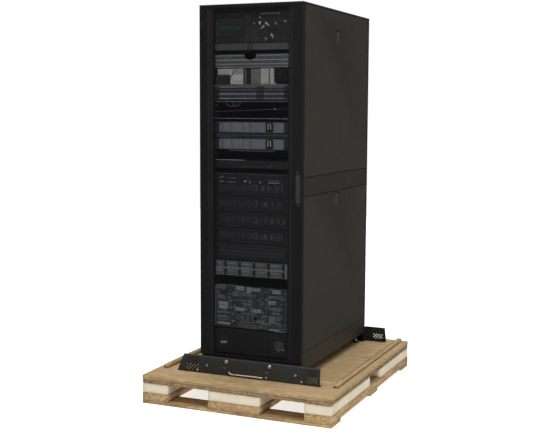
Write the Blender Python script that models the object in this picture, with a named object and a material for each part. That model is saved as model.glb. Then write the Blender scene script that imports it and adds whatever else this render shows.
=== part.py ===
"""A tall 42-unit power and network cabinet, bolted by two steel brackets to its shock pallet.

Metres, +Z up. The cabinet's front door faces -Y, and the origin is the centre of the pallet's underside.
"""

import math

import bpy

# Driving dimensions: the pallet
PALLET_W = 1.100
PALLET_D = 1.380
BOARD_T = 0.018
RUNNER_H = 0.042
FOAM_H = 0.055
DECK_T = 0.043
COLUMNS = {"left": (-0.550, -0.394), "centre": (-0.150, 0.152), "right": (0.400, 0.550)}
PADS = {"front": (-0.690, -0.063), "rear": (0.128, 0.690)}
BOTTOM_BOARDS = ((-0.690, -0.552), (-0.060, 0.070), (0.552, 0.690))
BATTEN_X = (0.492, 0.518)
BATTEN_Y = (-0.510, 0.660)
BATTEN_H = 0.020
OVERLAP = 0.002

# Driving dimensions: the cabinet
CAB_W = 0.600
CAB_D = 1.070
CAB_H = 1.934
CAB_Y = 0.050
CASTER_GAP = 0.057
GAP = 0.0003

# Heights and faces that follow from them
RUNNER_TOP = BOARD_T + RUNNER_H
FOAM_TOP = RUNNER_TOP + FOAM_H
DECK_TOP = FOAM_TOP + DECK_T
BASE_Z = DECK_TOP + CASTER_GAP
TOP_Z = BASE_Z + CAB_H
HALF = CAB_W / 2 - GAP
FRONT_Y = CAB_Y - CAB_D / 2
REAR_Y = CAB_Y + CAB_D / 2

# Cabinet shell
DOOR_T = 0.022
DOOR_WALL = 0.004
SHEET_BACK = 0.003
DOOR_Z = (DECK_TOP + 0.098, TOP_Z - 0.0125)
DOOR_BACK = FRONT_Y + DOOR_T
REAR_DOOR_FRONT = REAR_Y - DOOR_T
REAR_DOOR_BACK = REAR_Y - 0.002
SHEET = 0.0015
PANEL_T = 0.0134
PANEL_X = CAB_W / 2 - PANEL_T - 2 * GAP
FRAME_Y = (DOOR_BACK + 0.003, REAR_DOOR_FRONT - 0.003)
SKIRT_H = 0.097
SKIRT_W = 0.030
SKIRT_TOP = BASE_Z + SKIRT_H
BEAM_TOP = BASE_Z + 0.047
BEAM_T = 0.028
PAN_Z = (BASE_Z + 0.0155, BASE_Z + 0.0215)
PAN_REACH = 0.190
POST_W = 0.033
POST_DEPTH = 0.040
LIP_T = 0.008
BAND_T = 0.012
BAND_Z = (DECK_TOP + 0.987, DECK_TOP + 1.088)
ROOF_T = 0.011
ROOF_SLOT_X = 0.200
ROOF_SLOTS_Y = ((-0.330, -0.250), (0.330, 0.430))
TOP_BEAM_Z = (TOP_Z - 0.037, TOP_Z - ROOF_T - GAP)
TOP_RING_W = 0.030
WINDOW_X = 0.243
WINDOW_Z = (DECK_TOP + 0.112, TOP_Z - 0.024)
REAR_DOOR_RIM = 0.018

# Side panel latches
PANEL_RIM = 0.012
LATCH_Y = (0.019, 0.059)
LATCH_BOSS_Y = (0.010, 0.068)
LATCH_HALF = 0.038
LATCH_BOSS_HALF = 0.042
LATCH_DEPTH = 0.008
LATCH_TRAVEL = 0.011
UPPER_LATCH_Z = DECK_TOP + 1.845
LOWER_LATCH_Z = DECK_TOP + 0.943

# Hold-down brackets: y of the foot's edge, half of the length, height
BRACKET_T = 0.003
BRACKET_LEAN = 0.018
BRACKET_END_SLANT = 0.024
BRACKETS = {"front": (-0.525, 0.424, 0.092), "rear": (0.625, 0.430, 0.090)}

# Racking
RAIL_Y = (FRONT_Y + 0.033, FRONT_Y + 0.085)
REAR_RAIL_Y = (0.335, 0.387)
RAIL_X = (0.2265, 0.2455)
RAIL_T = 0.0025
FACE_Y = RAIL_Y[0] - 0.004
EAR_X = 0.2413
CHASSIS_X = 0.2190

# Swing handle and rear handle
HANDLE_X = 0.280
HANDLE_W = 0.0225
HUB_Z = DECK_TOP + 1.114
LEVER_Z = (DECK_TOP + 0.957, DECK_TOP + 1.103)
HANDLE_BASE_Z = (DECK_TOP + 0.935, DECK_TOP + 1.142)
BASE_PLATE_T = 0.004
LEVER_T = 0.0140
HUB_R = 0.009
HUB_HALF_W = 0.009
REAR_HANDLE = (0.040, 1.235)
REAR_ROSE_R = 0.017
REAR_LEVER_Z = (-0.110, 0.014)

# Casters
WHEEL_R = 0.026
WHEEL_W = 0.022
WHEEL_Z = DECK_TOP + GAP + WHEEL_R
AXLE_R = 0.004
TRAIL = 0.016
CASTER_X = 0.212
CASTER_Y = (-0.368, 0.465)
CHEEK_T = 0.003
CHEEK_GAP = 0.0012
CHEEK_HALF = 0.012
PLATE_HALF = 0.020

# Units on the rails: bottom, top and depth behind the face
UNITS = {
    "switch_block": (1.9155, 2.1080, 0.460),
    "patch_panel": (1.8190, 1.8930, 0.120),
    "switch_stack": (1.6380, 1.7180, 0.420),
    "control_unit_upper": (1.4750, 1.5340, 0.520),
    "control_unit_lower": (1.3860, 1.4460, 0.520),
    "console_drawer": (1.2850, 1.3290, 0.480),
    "battery_shelf": (0.6980, 0.7870, 0.600),
    "distribution_unit": (0.4150, 0.6480, 0.500),
    "ups_chassis": (0.2680, 0.4080, 0.660),
}
MODULE_CHASSIS_Z = (0.7905, 1.2620)
MODULE_CHASSIS_DEPTH = 0.620
MODULE_ROW_Z = (0.8795, 1.2230)
MODULES = 4
MODULE_DEPTH = 0.450
MODULE_WALL = 0.008
SHELF_Z = 1.7290
SHELF_DEPTH = 0.300
SHELF_UNIT_DEPTH = 0.220
SHELF_UNIT_H = 0.084
SHELF_UNITS = {"left": (-0.210, -0.022), "right": (-0.006, 0.140)}
BUTTON = (0.186, 0.318)
BUTTON_R = 0.006

SIDES = ("left", "right")


def clear_scene():
    for obj in list(bpy.data.objects):
        bpy.data.objects.remove(obj, do_unlink=True)


def material(name, colour, roughness, metallic=0.0):
    made = bpy.data.materials.new(name)
    made.use_nodes = True
    shader = made.node_tree.nodes["Principled BSDF"]
    shader.inputs["Base Color"].default_value = (*colour, 1.0)
    shader.inputs["Roughness"].default_value = roughness
    shader.inputs["Metallic"].default_value = metallic
    return made


def mesh_object(name, points, faces):
    mesh = bpy.data.meshes.new(name)
    mesh.from_pydata(points, [], faces)
    mesh.update()
    obj = bpy.data.objects.new(name, mesh)
    bpy.context.collection.objects.link(obj)
    return obj


def prism(name, outline, axis, start, end):
    """A closed outline, counter-clockwise seen from the axis's positive end, run from start to end."""
    order = {
        "X": lambda a, b, h: (h, a, b),
        "Y": lambda a, b, h: (b, h, a),
        "Z": lambda a, b, h: (a, b, h),
    }
    place = order[axis]
    count = len(outline)
    points = [place(a, b, start) for a, b in outline] + [place(a, b, end) for a, b in outline]
    faces = [tuple(reversed(range(count))), tuple(range(count, 2 * count))]
    for i in range(count):
        j = (i + 1) % count
        faces.append((i, j, j + count, i + count))
    return mesh_object(name, points, faces)


def block(name, x, y, z):
    """A box between two values of x, of y and of z."""
    outline = [(x[0], y[0]), (x[1], y[0]), (x[1], y[1]), (x[0], y[1])]
    return prism(name, outline, "Z", z[0], z[1])


def round_bar(name, axis, centre, radius, start, end, sides=24):
    """A cylinder along an axis. centre is in the axis's own plane, in the order prism uses."""
    turn = 2 * math.pi / sides
    outline = [
        (centre[0] + radius * math.cos(i * turn), centre[1] + radius * math.sin(i * turn))
        for i in range(sides)
    ]
    bar = prism(name, outline, axis, start, end)
    for face in bar.data.polygons:
        face.use_smooth = len(face.vertices) == 4
    return bar


def combine(obj, operation, tools):
    """Boolean modifiers with helper objects, which stay in the scene as wires."""
    for tool in tools:
        tool.name = f"tool_{obj.name}"
        tool.hide_render = True
        tool.display_type = "WIRE"
        step = obj.modifiers.new(operation.lower(), "BOOLEAN")
        step.operation = operation
        step.solver = "EXACT"
        step.object = tool
    return obj


def join(obj, *tools):
    return combine(obj, "UNION", tools)


def cut(obj, *tools):
    return combine(obj, "DIFFERENCE", tools)


def finish(obj, look, pivot=None, carrier=None):
    """Gives the material, puts the origin on the pivot, and parents the piece to its carrier empty."""
    obj.data.materials.append(look)
    if pivot:
        for vertex in obj.data.vertices:
            vertex.co = [value - start for value, start in zip(vertex.co, pivot)]
        obj.location = pivot
    if carrier:
        obj.parent = carrier
        obj.location = [value - start for value, start in zip(obj.location, carrier.location)]
    return obj


def empty(name, place):
    made = bpy.data.objects.new(name, None)
    made.location = place
    bpy.context.collection.objects.link(made)
    return made


def mirrored(pair, side):
    """A range of x on the right, or its mirror on the left."""
    return pair if side == "right" else (-pair[1], -pair[0])


# The pallet


def pallet_skid(look):
    """Three runners along the pallet, nailed on three boards that lie across it."""
    runners = [
        block("runner", x, (-PALLET_D / 2, PALLET_D / 2), (BOARD_T - OVERLAP, RUNNER_TOP))
        for x in COLUMNS.values()
    ]
    boards = [block("board", (-PALLET_W / 2, PALLET_W / 2), y, (0, BOARD_T)) for y in BOTTOM_BOARDS]
    runners[0].name = "pallet_skid"
    return finish(join(runners[0], *boards, *runners[1:]), look)


def foam_pads(look):
    for column, x in COLUMNS.items():
        for place, y in PADS.items():
            name = f"foam_pad_{column}_{place}"
            finish(block(name, x, y, (RUNNER_TOP + GAP, FOAM_TOP - GAP)), look)


def pallet_deck(look):
    """The deck sheet with a low batten along each side."""
    x, y = (-PALLET_W / 2, PALLET_W / 2), (-PALLET_D / 2, PALLET_D / 2)
    deck = block("pallet_deck", x, y, (FOAM_TOP, DECK_TOP))
    z = (DECK_TOP - OVERLAP, DECK_TOP + BATTEN_H)
    battens = [block("batten", mirrored(BATTEN_X, side), BATTEN_Y, z) for side in SIDES]
    return finish(join(deck, *battens), look)


def hold_down_bracket(end, look):
    """A channel of thick sheet: a foot on the deck, a leaning face, and a lip that meets the cabinet."""
    foot_y, half_width, height = BRACKETS[end]
    inward = 1 if end == "front" else -1
    back_y = (FRAME_Y[0] if end == "front" else FRAME_Y[1]) - inward * GAP
    t, lean = BRACKET_T, inward * BRACKET_LEAN
    low, high = DECK_TOP + GAP, DECK_TOP + height
    section = [
        (foot_y, low),
        (back_y, low),
        (back_y, low + t),
        (foot_y + 1.2 * inward * t, low + t),
        (foot_y + lean + inward * t, high - t),
        (back_y, high - t),
        (back_y, high),
        (foot_y + lean, high),
    ]
    if inward < 0:
        section.reverse()
    channel = prism(f"bracket_{end}", section, "X", -half_width, half_width)
    past = 0.02
    tools = []
    for side in (-1, 1):
        outer = side * (half_width + past)
        outline = [
            (low - past, side * (half_width + OVERLAP)),
            (high + past, side * (half_width + OVERLAP - BRACKET_END_SLANT)),
            (high + past, outer),
            (low - past, outer),
        ]
        if side > 0:
            outline.reverse()
        y = sorted((foot_y, back_y))
        tools.append(prism("end", outline, "Y", y[0] - past, y[1] + past))
        turn_out(tools[-1])
    return finish(cut(channel, *tools), look)


def turn_out(obj):
    """Makes every face of a convex helper point away from its middle."""
    middle = sum((v.co for v in obj.data.vertices), obj.data.vertices[0].co * 0) / len(obj.data.vertices)
    face = obj.data.polygons[0]
    if face.normal.dot(face.center - middle) < 0:
        obj.data.flip_normals()


# The frame


def caster_fork(name, x, y, z_top):
    """A top plate, two cheeks and the axle, with the wheel behind the plate's centre."""
    near, far = WHEEL_W / 2 + CHEEK_GAP, WHEEL_W / 2 + CHEEK_GAP + CHEEK_T
    plate_z = (z_top - CHEEK_T - 0.001, z_top)
    plate = block(name, (x - PLATE_HALF, x + PLATE_HALF), (y - PLATE_HALF, y + TRAIL + 0.010), plate_z)
    cheek_y = (y + TRAIL - CHEEK_HALF, y + TRAIL + CHEEK_HALF)
    cheek_z = (WHEEL_Z - 2 * AXLE_R, z_top - OVERLAP)
    left = block("cheek", (x - far, x - near), cheek_y, cheek_z)
    right = block("cheek", (x + near, x + far), cheek_y, cheek_z)
    axle_x = (x - near - OVERLAP, x + near + OVERLAP)
    axle = round_bar("axle", "X", (y + TRAIL, WHEEL_Z), AXLE_R, *axle_x, 16)
    return join(plate, left, right, axle)


def casters(metal, tyre):
    for side, x in (("left", -CASTER_X), ("right", CASTER_X)):
        swivel = (x, CASTER_Y[0], PAN_Z[0])
        finish(caster_fork(f"caster_fork_{side}", x, CASTER_Y[0], PAN_Z[0] - GAP), metal, pivot=swivel)
        for end, y in zip(("front", "rear"), CASTER_Y):
            name = f"caster_wheel_{end}_{side}"
            centre = (y + TRAIL, WHEEL_Z)
            wheel = round_bar(name, "X", centre, WHEEL_R, x - WHEEL_W / 2, x + WHEEL_W / 2)
            bore = round_bar("bore", "X", centre, AXLE_R + GAP, x - WHEEL_W, x + WHEEL_W, 16)
            finish(cut(wheel, bore), tyre, pivot=(x, *centre))


def frame_base(look):
    """Two deep skirts, low front and rear beams, two pans, and the fixed rear caster forks."""
    skirt_z = (BASE_Z, SKIRT_TOP)
    skirts = [block("skirt", mirrored((HALF - SKIRT_W, HALF), side), FRAME_Y, skirt_z) for side in SIDES]
    inside = HALF - SKIRT_W + OVERLAP
    cross = (-inside, inside)
    y0, y1 = FRAME_Y
    start = BEAM_T - OVERLAP
    parts = [
        block("beam", cross, (y0, y0 + BEAM_T), (BASE_Z, BEAM_TOP)),
        block("beam", cross, (y1 - BEAM_T, y1), (BASE_Z, BEAM_TOP)),
        block("pan", cross, (y0 + start, y0 + PAN_REACH), PAN_Z),
        block("pan", cross, (y1 - PAN_REACH, y1 - start), PAN_Z),
    ]
    forks = [caster_fork("fork", x, CASTER_Y[1], PAN_Z[0] + 0.001) for x in (-CASTER_X, CASTER_X)]
    skirts[0].name = "frame_base"
    return finish(join(skirts[0], *parts, skirts[1], *forks), look)


def side_frame(side, look):
    """The front and rear posts of one side, joined by the mid rail that shows between the half panels."""
    post_x = mirrored((PANEL_X - POST_W, PANEL_X - GAP), side)
    lip_x = mirrored((PANEL_X - OVERLAP, HALF), side)
    rail_x = mirrored((PANEL_X - BAND_T, HALF - 0.001), side)
    z = (SKIRT_TOP + GAP, TOP_BEAM_Z[0] - GAP)
    y0, y1 = FRAME_Y
    post = block(f"side_frame_{side}", post_x, (y0, y0 + POST_DEPTH), z)
    more = [
        block("post", post_x, (y1 - POST_DEPTH, y1), z),
        block("lip", lip_x, (y0, y0 + LIP_T), z),
        block("lip", lip_x, (y1 - LIP_T, y1), z),
        block("rail", rail_x, (y0 + LIP_T / 2, y1 - LIP_T / 2), BAND_Z),
    ]
    return finish(join(post, *more), look)


def frame_top(look):
    y0, y1 = FRAME_Y
    ring = block("frame_top", (-PANEL_X + GAP, PANEL_X - GAP), (y0, y1), TOP_BEAM_Z)
    hole_x, hole_y = PANEL_X - TOP_RING_W, (y0 + TOP_RING_W, y1 - TOP_RING_W)
    hole = block("hole", (-hole_x, hole_x), hole_y, (TOP_Z - 0.1, TOP_Z))
    return finish(cut(ring, hole), look)


def roof_panel(look):
    """The roof sheet with two cable slots through it."""
    roof = block("roof_panel", (-HALF, HALF), (FRONT_Y, REAR_Y), (TOP_Z - ROOF_T, TOP_Z))
    through = (TOP_Z - 2 * ROOF_T, TOP_Z + ROOF_T)
    slots = [block("slot", (-ROOF_SLOT_X, ROOF_SLOT_X), y, through) for y in ROOF_SLOTS_Y]
    return finish(cut(roof, *slots), look)


# Side panels


def side_panel(name, side, z, latch_z, look, latch_look):
    """A half-height sheet tray that lifts off sideways, with the pocket that holds its latch."""
    y = (FRAME_Y[0] + LIP_T + GAP, FRAME_Y[1] - LIP_T - GAP)
    panel = block(name, mirrored((PANEL_X, HALF), side), y, z)
    hollow = block(
        "hollow",
        mirrored((PANEL_X - 0.01, HALF - SHEET), side),
        (y[0] + PANEL_RIM, y[1] - PANEL_RIM),
        (z[0] + PANEL_RIM, z[1] - PANEL_RIM),
    )
    boss_z = (latch_z - LATCH_BOSS_HALF, latch_z + LATCH_BOSS_HALF)
    boss = block("boss", mirrored((PANEL_X + 0.0005, HALF - 0.001), side), LATCH_BOSS_Y, boss_z)
    pocket_z = (latch_z - LATCH_HALF, latch_z + LATCH_HALF)
    pocket = block("pocket", mirrored((HALF - LATCH_DEPTH, HALF + 0.01), side), LATCH_Y, pocket_z)
    cut(panel, hollow)
    join(panel, boss)
    cut(panel, pocket)
    finish(panel, look)
    slide_x = mirrored((HALF - LATCH_DEPTH + 0.0004, HALF - 0.0010), side)
    slide_y = (LATCH_Y[0] + 0.003, LATCH_Y[1] - 0.003)
    slide_z = (pocket_z[0] + 0.0005, pocket_z[1] - LATCH_TRAVEL)
    slide = block(name.replace("panel", "latch"), slide_x, slide_y, slide_z)
    grip_x = mirrored((HALF - LATCH_DEPTH / 2, HALF), side)
    grip_y, grip_z = (slide_y[0] + 0.004, slide_y[1] - 0.004), (latch_z - 0.010, latch_z + 0.012)
    grip = block("grip", grip_x, grip_y, grip_z)
    finish(cut(slide, grip), latch_look, pivot=(0, 0, latch_z))


def side_panels(look, latch_look):
    top = (BAND_Z[1] + GAP, TOP_BEAM_Z[1] - 0.001)
    low = (SKIRT_TOP + GAP, BAND_Z[0] - GAP)
    for side in SIDES:
        side_panel(f"side_panel_{side}_upper", side, top, UPPER_LATCH_Z, look, latch_look)
        side_panel(f"side_panel_{side}_lower", side, low, LOWER_LATCH_Z, look, latch_look)


# Doors


def front_door(look, mesh_look, hinge):
    """A folded frame, hollow from behind, round the perforated sheet."""
    z0, z1 = DOOR_Z
    frame = block("front_door_frame", (-HALF, HALF), (FRONT_Y, DOOR_BACK), DOOR_Z)
    window = block("window", (-WINDOW_X, WINDOW_X), (FRONT_Y - 0.01, DOOR_BACK + 0.01), WINDOW_Z)
    depth = (FRONT_Y + SHEET_BACK, DOOR_BACK + 0.01)
    stile_x = (WINDOW_X + DOOR_WALL, HALF - DOOR_WALL)
    stile_z = (z0 + 2 * DOOR_WALL, z1 - 2 * DOOR_WALL)
    hollows = [block("hollow", mirrored(stile_x, side), depth, stile_z) for side in SIDES]
    finish(cut(frame, window, *hollows), look, carrier=hinge)
    sheet = block(
        "door_mesh",
        (-WINDOW_X + GAP, WINDOW_X - GAP),
        (FRONT_Y + SHEET_BACK, FRONT_Y + SHEET_BACK + SHEET),
        (WINDOW_Z[0] + GAP, WINDOW_Z[1] - GAP),
    )
    finish(sheet, mesh_look, carrier=hinge)


def swing_handle(look, hinge):
    """A base plate, a hub that turns in it, and a lever that swings out from the hub."""
    plate_y = (FRONT_Y - BASE_PLATE_T - GAP, FRONT_Y - GAP)
    plate = block("handle_base", (HANDLE_X - 0.016, HANDLE_X + 0.0165), plate_y, HANDLE_BASE_Z)
    hole = round_bar("hole", "Y", (HUB_Z, HANDLE_X), HUB_R + 0.0005, FRONT_Y - 0.02, FRONT_Y + 0.02)
    finish(cut(plate, hole), look, carrier=hinge)

    front = plate_y[0] - GAP - LEVER_T
    hub_x = (HANDLE_X - HUB_HALF_W, HANDLE_X + HUB_HALF_W)
    hub_z = (LEVER_Z[1] + 0.0008, HUB_Z + 0.010)
    hub = block("handle_hub", hub_x, (front, plate_y[0] - GAP), hub_z)
    stem = round_bar("stem", "Y", (HUB_Z, HANDLE_X), HUB_R, front + OVERLAP, FRONT_Y - 2 * GAP)
    finish(join(hub, stem), look, pivot=(HANDLE_X, FRONT_Y, HUB_Z), carrier=hinge)

    lever_pivot = (HANDLE_X, front + LEVER_T / 2, LEVER_Z[1] - LEVER_T / 2)
    finish(handle_lever(front), look, pivot=lever_pivot, carrier=hinge)


def handle_lever(front):
    """A bar with a round top end about its swing axis and a thinner tip."""
    r = LEVER_T / 2
    y, z = front + r, LEVER_Z[1] - r
    steps = 8
    angles = [i * math.pi / steps for i in range(steps + 1)]
    arc = [(y + r * math.cos(angle), z + r * math.sin(angle)) for angle in angles]
    low = LEVER_Z[0]
    outline = arc + [(front, low + 0.020), (front + 0.004, low), (front + LEVER_T, low)]
    return prism("handle_lever", outline, "X", HANDLE_X - HANDLE_W / 2, HANDLE_X + HANDLE_W / 2)


def rear_door(side, look, hinge):
    """One of two half-width doors: a sheet tray that opens outward."""
    x = mirrored((0.0015, HALF), side)
    y = (REAR_DOOR_FRONT, REAR_DOOR_BACK)
    door = block(f"rear_door_{side}", x, y, DOOR_Z)
    hollow = block(
        "hollow",
        (x[0] + REAR_DOOR_RIM, x[1] - REAR_DOOR_RIM),
        (y[0] - 0.01, y[1] - SHEET),
        (DOOR_Z[0] + REAR_DOOR_RIM, DOOR_Z[1] - REAR_DOOR_RIM),
    )
    return finish(cut(door, hollow), look, carrier=hinge)


def rear_handle(look, hinge):
    x, z = REAR_HANDLE
    y = REAR_DOOR_BACK + GAP
    rose = round_bar("rear_handle", "Y", (z, x), REAR_ROSE_R, y, y + 0.006)
    neck = round_bar("neck", "Y", (z, x), HUB_R, y + 0.004, y + 0.016)
    lever_x = (x - HUB_HALF_W, x + HUB_HALF_W)
    lever_z = (z + REAR_LEVER_Z[0], z + REAR_LEVER_Z[1])
    lever = block("lever", lever_x, (y + 0.012, y + 0.022), lever_z)
    finish(join(rose, neck, lever), look, pivot=(x, y, z), carrier=hinge)


def doors(look, mesh_look, handle_look):
    front = empty("front_door_hinge", (-CAB_W / 2, DOOR_BACK + 0.0005, 0))
    front_door(look, mesh_look, front)
    swing_handle(handle_look, front)
    for side, x in (("left", -CAB_W / 2), ("right", CAB_W / 2)):
        hinge = empty(f"rear_door_{side}_hinge", (x, REAR_DOOR_FRONT - 0.0005, 0))
        rear_door(side, look, hinge)
        if side == "right":
            rear_handle(handle_look, hinge)


# Racking and what it carries


def rack_rails(look):
    z = (BEAM_TOP + GAP, TOP_BEAM_Z[0] - GAP)
    for end, (y0, y1) in (("front", RAIL_Y), ("rear", REAR_RAIL_Y)):
        for side in SIDES:
            flange = (y0, y0 + RAIL_T) if end == "front" else (y1 - RAIL_T, y1)
            rail = block(f"rack_rail_{end}_{side}", mirrored(RAIL_X, side), flange, z)
            web_x = mirrored((RAIL_X[0], RAIL_X[0] + RAIL_T), side)
            finish(join(rail, block("web", web_x, (y0, y1), z)), look)


def rack_unit(name, z, depth, look):
    """A chassis between the rails with a face plate whose ears stand in front of them."""
    low, high = z
    plate = block(name, (-EAR_X, EAR_X), (FACE_Y, RAIL_Y[0] - GAP), (low + 0.0004, high - 0.0004))
    chassis_y = (FACE_Y + OVERLAP, FACE_Y + depth)
    chassis = block("chassis", (-CHASSIS_X, CHASSIS_X), chassis_y, (low + 0.0015, high - 0.0015))
    return finish(join(plate, chassis), look)


def module_chassis(look, module_look):
    """An open-fronted housing with a row of pull-out power modules in it."""
    low, high = MODULE_CHASSIS_Z
    plate = block("module_chassis", (-EAR_X, EAR_X), (FACE_Y, RAIL_Y[0] - GAP), (low, high))
    body_y = (FACE_Y + OVERLAP, FACE_Y + MODULE_CHASSIS_DEPTH)
    body = block("body", (-CHASSIS_X, CHASSIS_X), body_y, (low + 0.001, high - 0.001))
    row_low, row_high = MODULE_ROW_Z
    bay_x = CHASSIS_X - MODULE_WALL
    bay_y = (FACE_Y - 0.010, FACE_Y + MODULE_DEPTH + 0.010)
    bay = block("bay", (-bay_x, bay_x), bay_y, (row_low, row_high))
    join(plate, body)
    finish(cut(plate, bay), look)
    pitch = (row_high - row_low) / MODULES
    for row in range(MODULES):
        base = row_high - (row + 1) * pitch
        z = (base + 0.001, base + pitch - 0.001)
        x = (-bay_x + 0.001, bay_x - 0.001)
        finish(block(f"power_module_{row + 1}", x, (FACE_Y, FACE_Y + MODULE_DEPTH), z), module_look)


def device_shelf(look, left_look, right_look):
    """A vented shelf with two upright network boxes standing on it."""
    tray = block("device_shelf", (-EAR_X, EAR_X), (FACE_Y, RAIL_Y[0] - GAP), (SHELF_Z - 0.009, SHELF_Z))
    base_y, base_z = (FACE_Y + OVERLAP, FACE_Y + SHELF_DEPTH), (SHELF_Z - 0.002, SHELF_Z + 0.002)
    base = block("base", (-CHASSIS_X, CHASSIS_X), base_y, base_z)
    finish(join(tray, base), look)
    y, z = (FACE_Y + 0.004, FACE_Y + SHELF_UNIT_DEPTH), (base_z[1] + GAP, base_z[1] + SHELF_UNIT_H)
    for side, unit_look in (("left", left_look), ("right", right_look)):
        finish(block(f"shelf_unit_{side}", SHELF_UNITS[side], y, z), unit_look)


def supply_front(look, button_look):
    """The supply's bezel, clipped on in front of its chassis, and the power button through it."""
    low, high = UNITS["ups_chassis"][:2]
    y = (FACE_Y - 0.0045, FACE_Y - GAP)
    bezel = block("ups_bezel", (-EAR_X + 0.002, EAR_X - 0.002), y, (low + 0.003, high - 0.003))
    x, z = BUTTON
    hole = round_bar("hole", "Y", (z, x), BUTTON_R + 0.0005, y[0] - 0.01, y[1] + 0.01)
    finish(cut(bezel, hole), look)
    button = round_bar("ups_power_button", "Y", (z, x), BUTTON_R, y[0] - 0.0015, FACE_Y - 0.0020)
    finish(button, button_look, pivot=(x, y[0], z))


def build():
    clear_scene()
    wood = material("wood", (0.560, 0.400, 0.220), 0.65)
    foam = material("foam", (0.760, 0.730, 0.620), 0.80)
    frame = material("frame_black", (0.028, 0.029, 0.032), 0.40, 0.2)
    panel = material("panel_satin", (0.036, 0.036, 0.030), 0.38, 0.2)
    bracket = material("bracket_steel", (0.055, 0.055, 0.050), 0.42, 0.5)
    zinc = material("zinc", (0.420, 0.420, 0.410), 0.35, 0.9)
    tyre = material("tyre", (0.030, 0.030, 0.030), 0.60)
    grey = material("grey_bezel", (0.110, 0.120, 0.130), 0.45)
    light = material("light_case", (0.420, 0.420, 0.410), 0.45)
    dark = material("dark_plastic", (0.030, 0.031, 0.034), 0.45)
    handle = material("handle_black", (0.020, 0.020, 0.022), 0.35)

    pallet_skid(wood)
    foam_pads(foam)
    pallet_deck(wood)
    for end in BRACKETS:
        hold_down_bracket(end, bracket)

    frame_base(frame)
    for side in SIDES:
        side_frame(side, frame)
    frame_top(frame)
    roof_panel(frame)
    casters(zinc, tyre)
    side_panels(panel, handle)
    doors(frame, frame, handle)

    rack_rails(frame)
    looks = {"control_unit_upper": grey, "control_unit_lower": grey, "battery_shelf": grey}
    for name, (low, high, depth) in UNITS.items():
        rack_unit(name, (low, high), depth, looks.get(name, dark))
    module_chassis(dark, dark)
    device_shelf(dark, light, light)
    supply_front(dark, grey)


build()
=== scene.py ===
"""Looks of the rack power cabinet on its shock pallet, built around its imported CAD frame.

Metres, +Z up, the front door facing -Y. Positions come from the frame's nodes.
"""

import math
import random

import bmesh
import bpy
import numpy as np
from mathutils import Matrix, Vector, noise


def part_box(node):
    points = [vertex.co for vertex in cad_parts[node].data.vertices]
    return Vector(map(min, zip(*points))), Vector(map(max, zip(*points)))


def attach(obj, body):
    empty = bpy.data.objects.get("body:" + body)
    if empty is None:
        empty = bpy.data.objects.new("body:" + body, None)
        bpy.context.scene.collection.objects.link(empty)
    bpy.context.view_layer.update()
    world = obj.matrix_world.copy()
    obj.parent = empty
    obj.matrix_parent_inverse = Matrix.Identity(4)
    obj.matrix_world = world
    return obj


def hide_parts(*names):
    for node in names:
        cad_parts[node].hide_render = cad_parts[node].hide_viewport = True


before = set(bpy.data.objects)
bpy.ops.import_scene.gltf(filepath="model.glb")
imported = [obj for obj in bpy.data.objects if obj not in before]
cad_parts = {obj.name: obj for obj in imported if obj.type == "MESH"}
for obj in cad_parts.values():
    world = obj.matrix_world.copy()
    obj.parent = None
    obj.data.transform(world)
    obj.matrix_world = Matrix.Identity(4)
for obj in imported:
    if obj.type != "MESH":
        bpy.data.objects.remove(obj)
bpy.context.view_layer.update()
ROOT = "cabinet_on_pallet"
DOOR = "front_door"
SIDES = (("left", -1), ("right", 1))


def lo(node):
    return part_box(node)[0]


def hi(node):
    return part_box(node)[1]


# Camera

LENS_LENGTH = 65.1
CAMERA_PLACE = (2.23, -5.286, 1.594)
AZIMUTH, PITCH, ROLL = (math.radians(angle) for angle in (23.41, 6.29, -0.28))


def make_camera():
    data = bpy.data.cameras.new("camera")
    data.lens = LENS_LENGTH
    data.sensor_width = 36.0
    data.clip_end = 60.0
    camera = bpy.data.objects.new("camera", data)
    bpy.context.scene.collection.objects.link(camera)
    level = Matrix.Rotation(AZIMUTH, 4, "Z") @ Matrix.Rotation(math.pi / 2 - PITCH, 4, "X")
    camera.matrix_world = Matrix.Translation(CAMERA_PLACE) @ (level @ Matrix.Rotation(-ROLL, 4, "Z"))
    bpy.context.scene.camera = camera


# Materials


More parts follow.
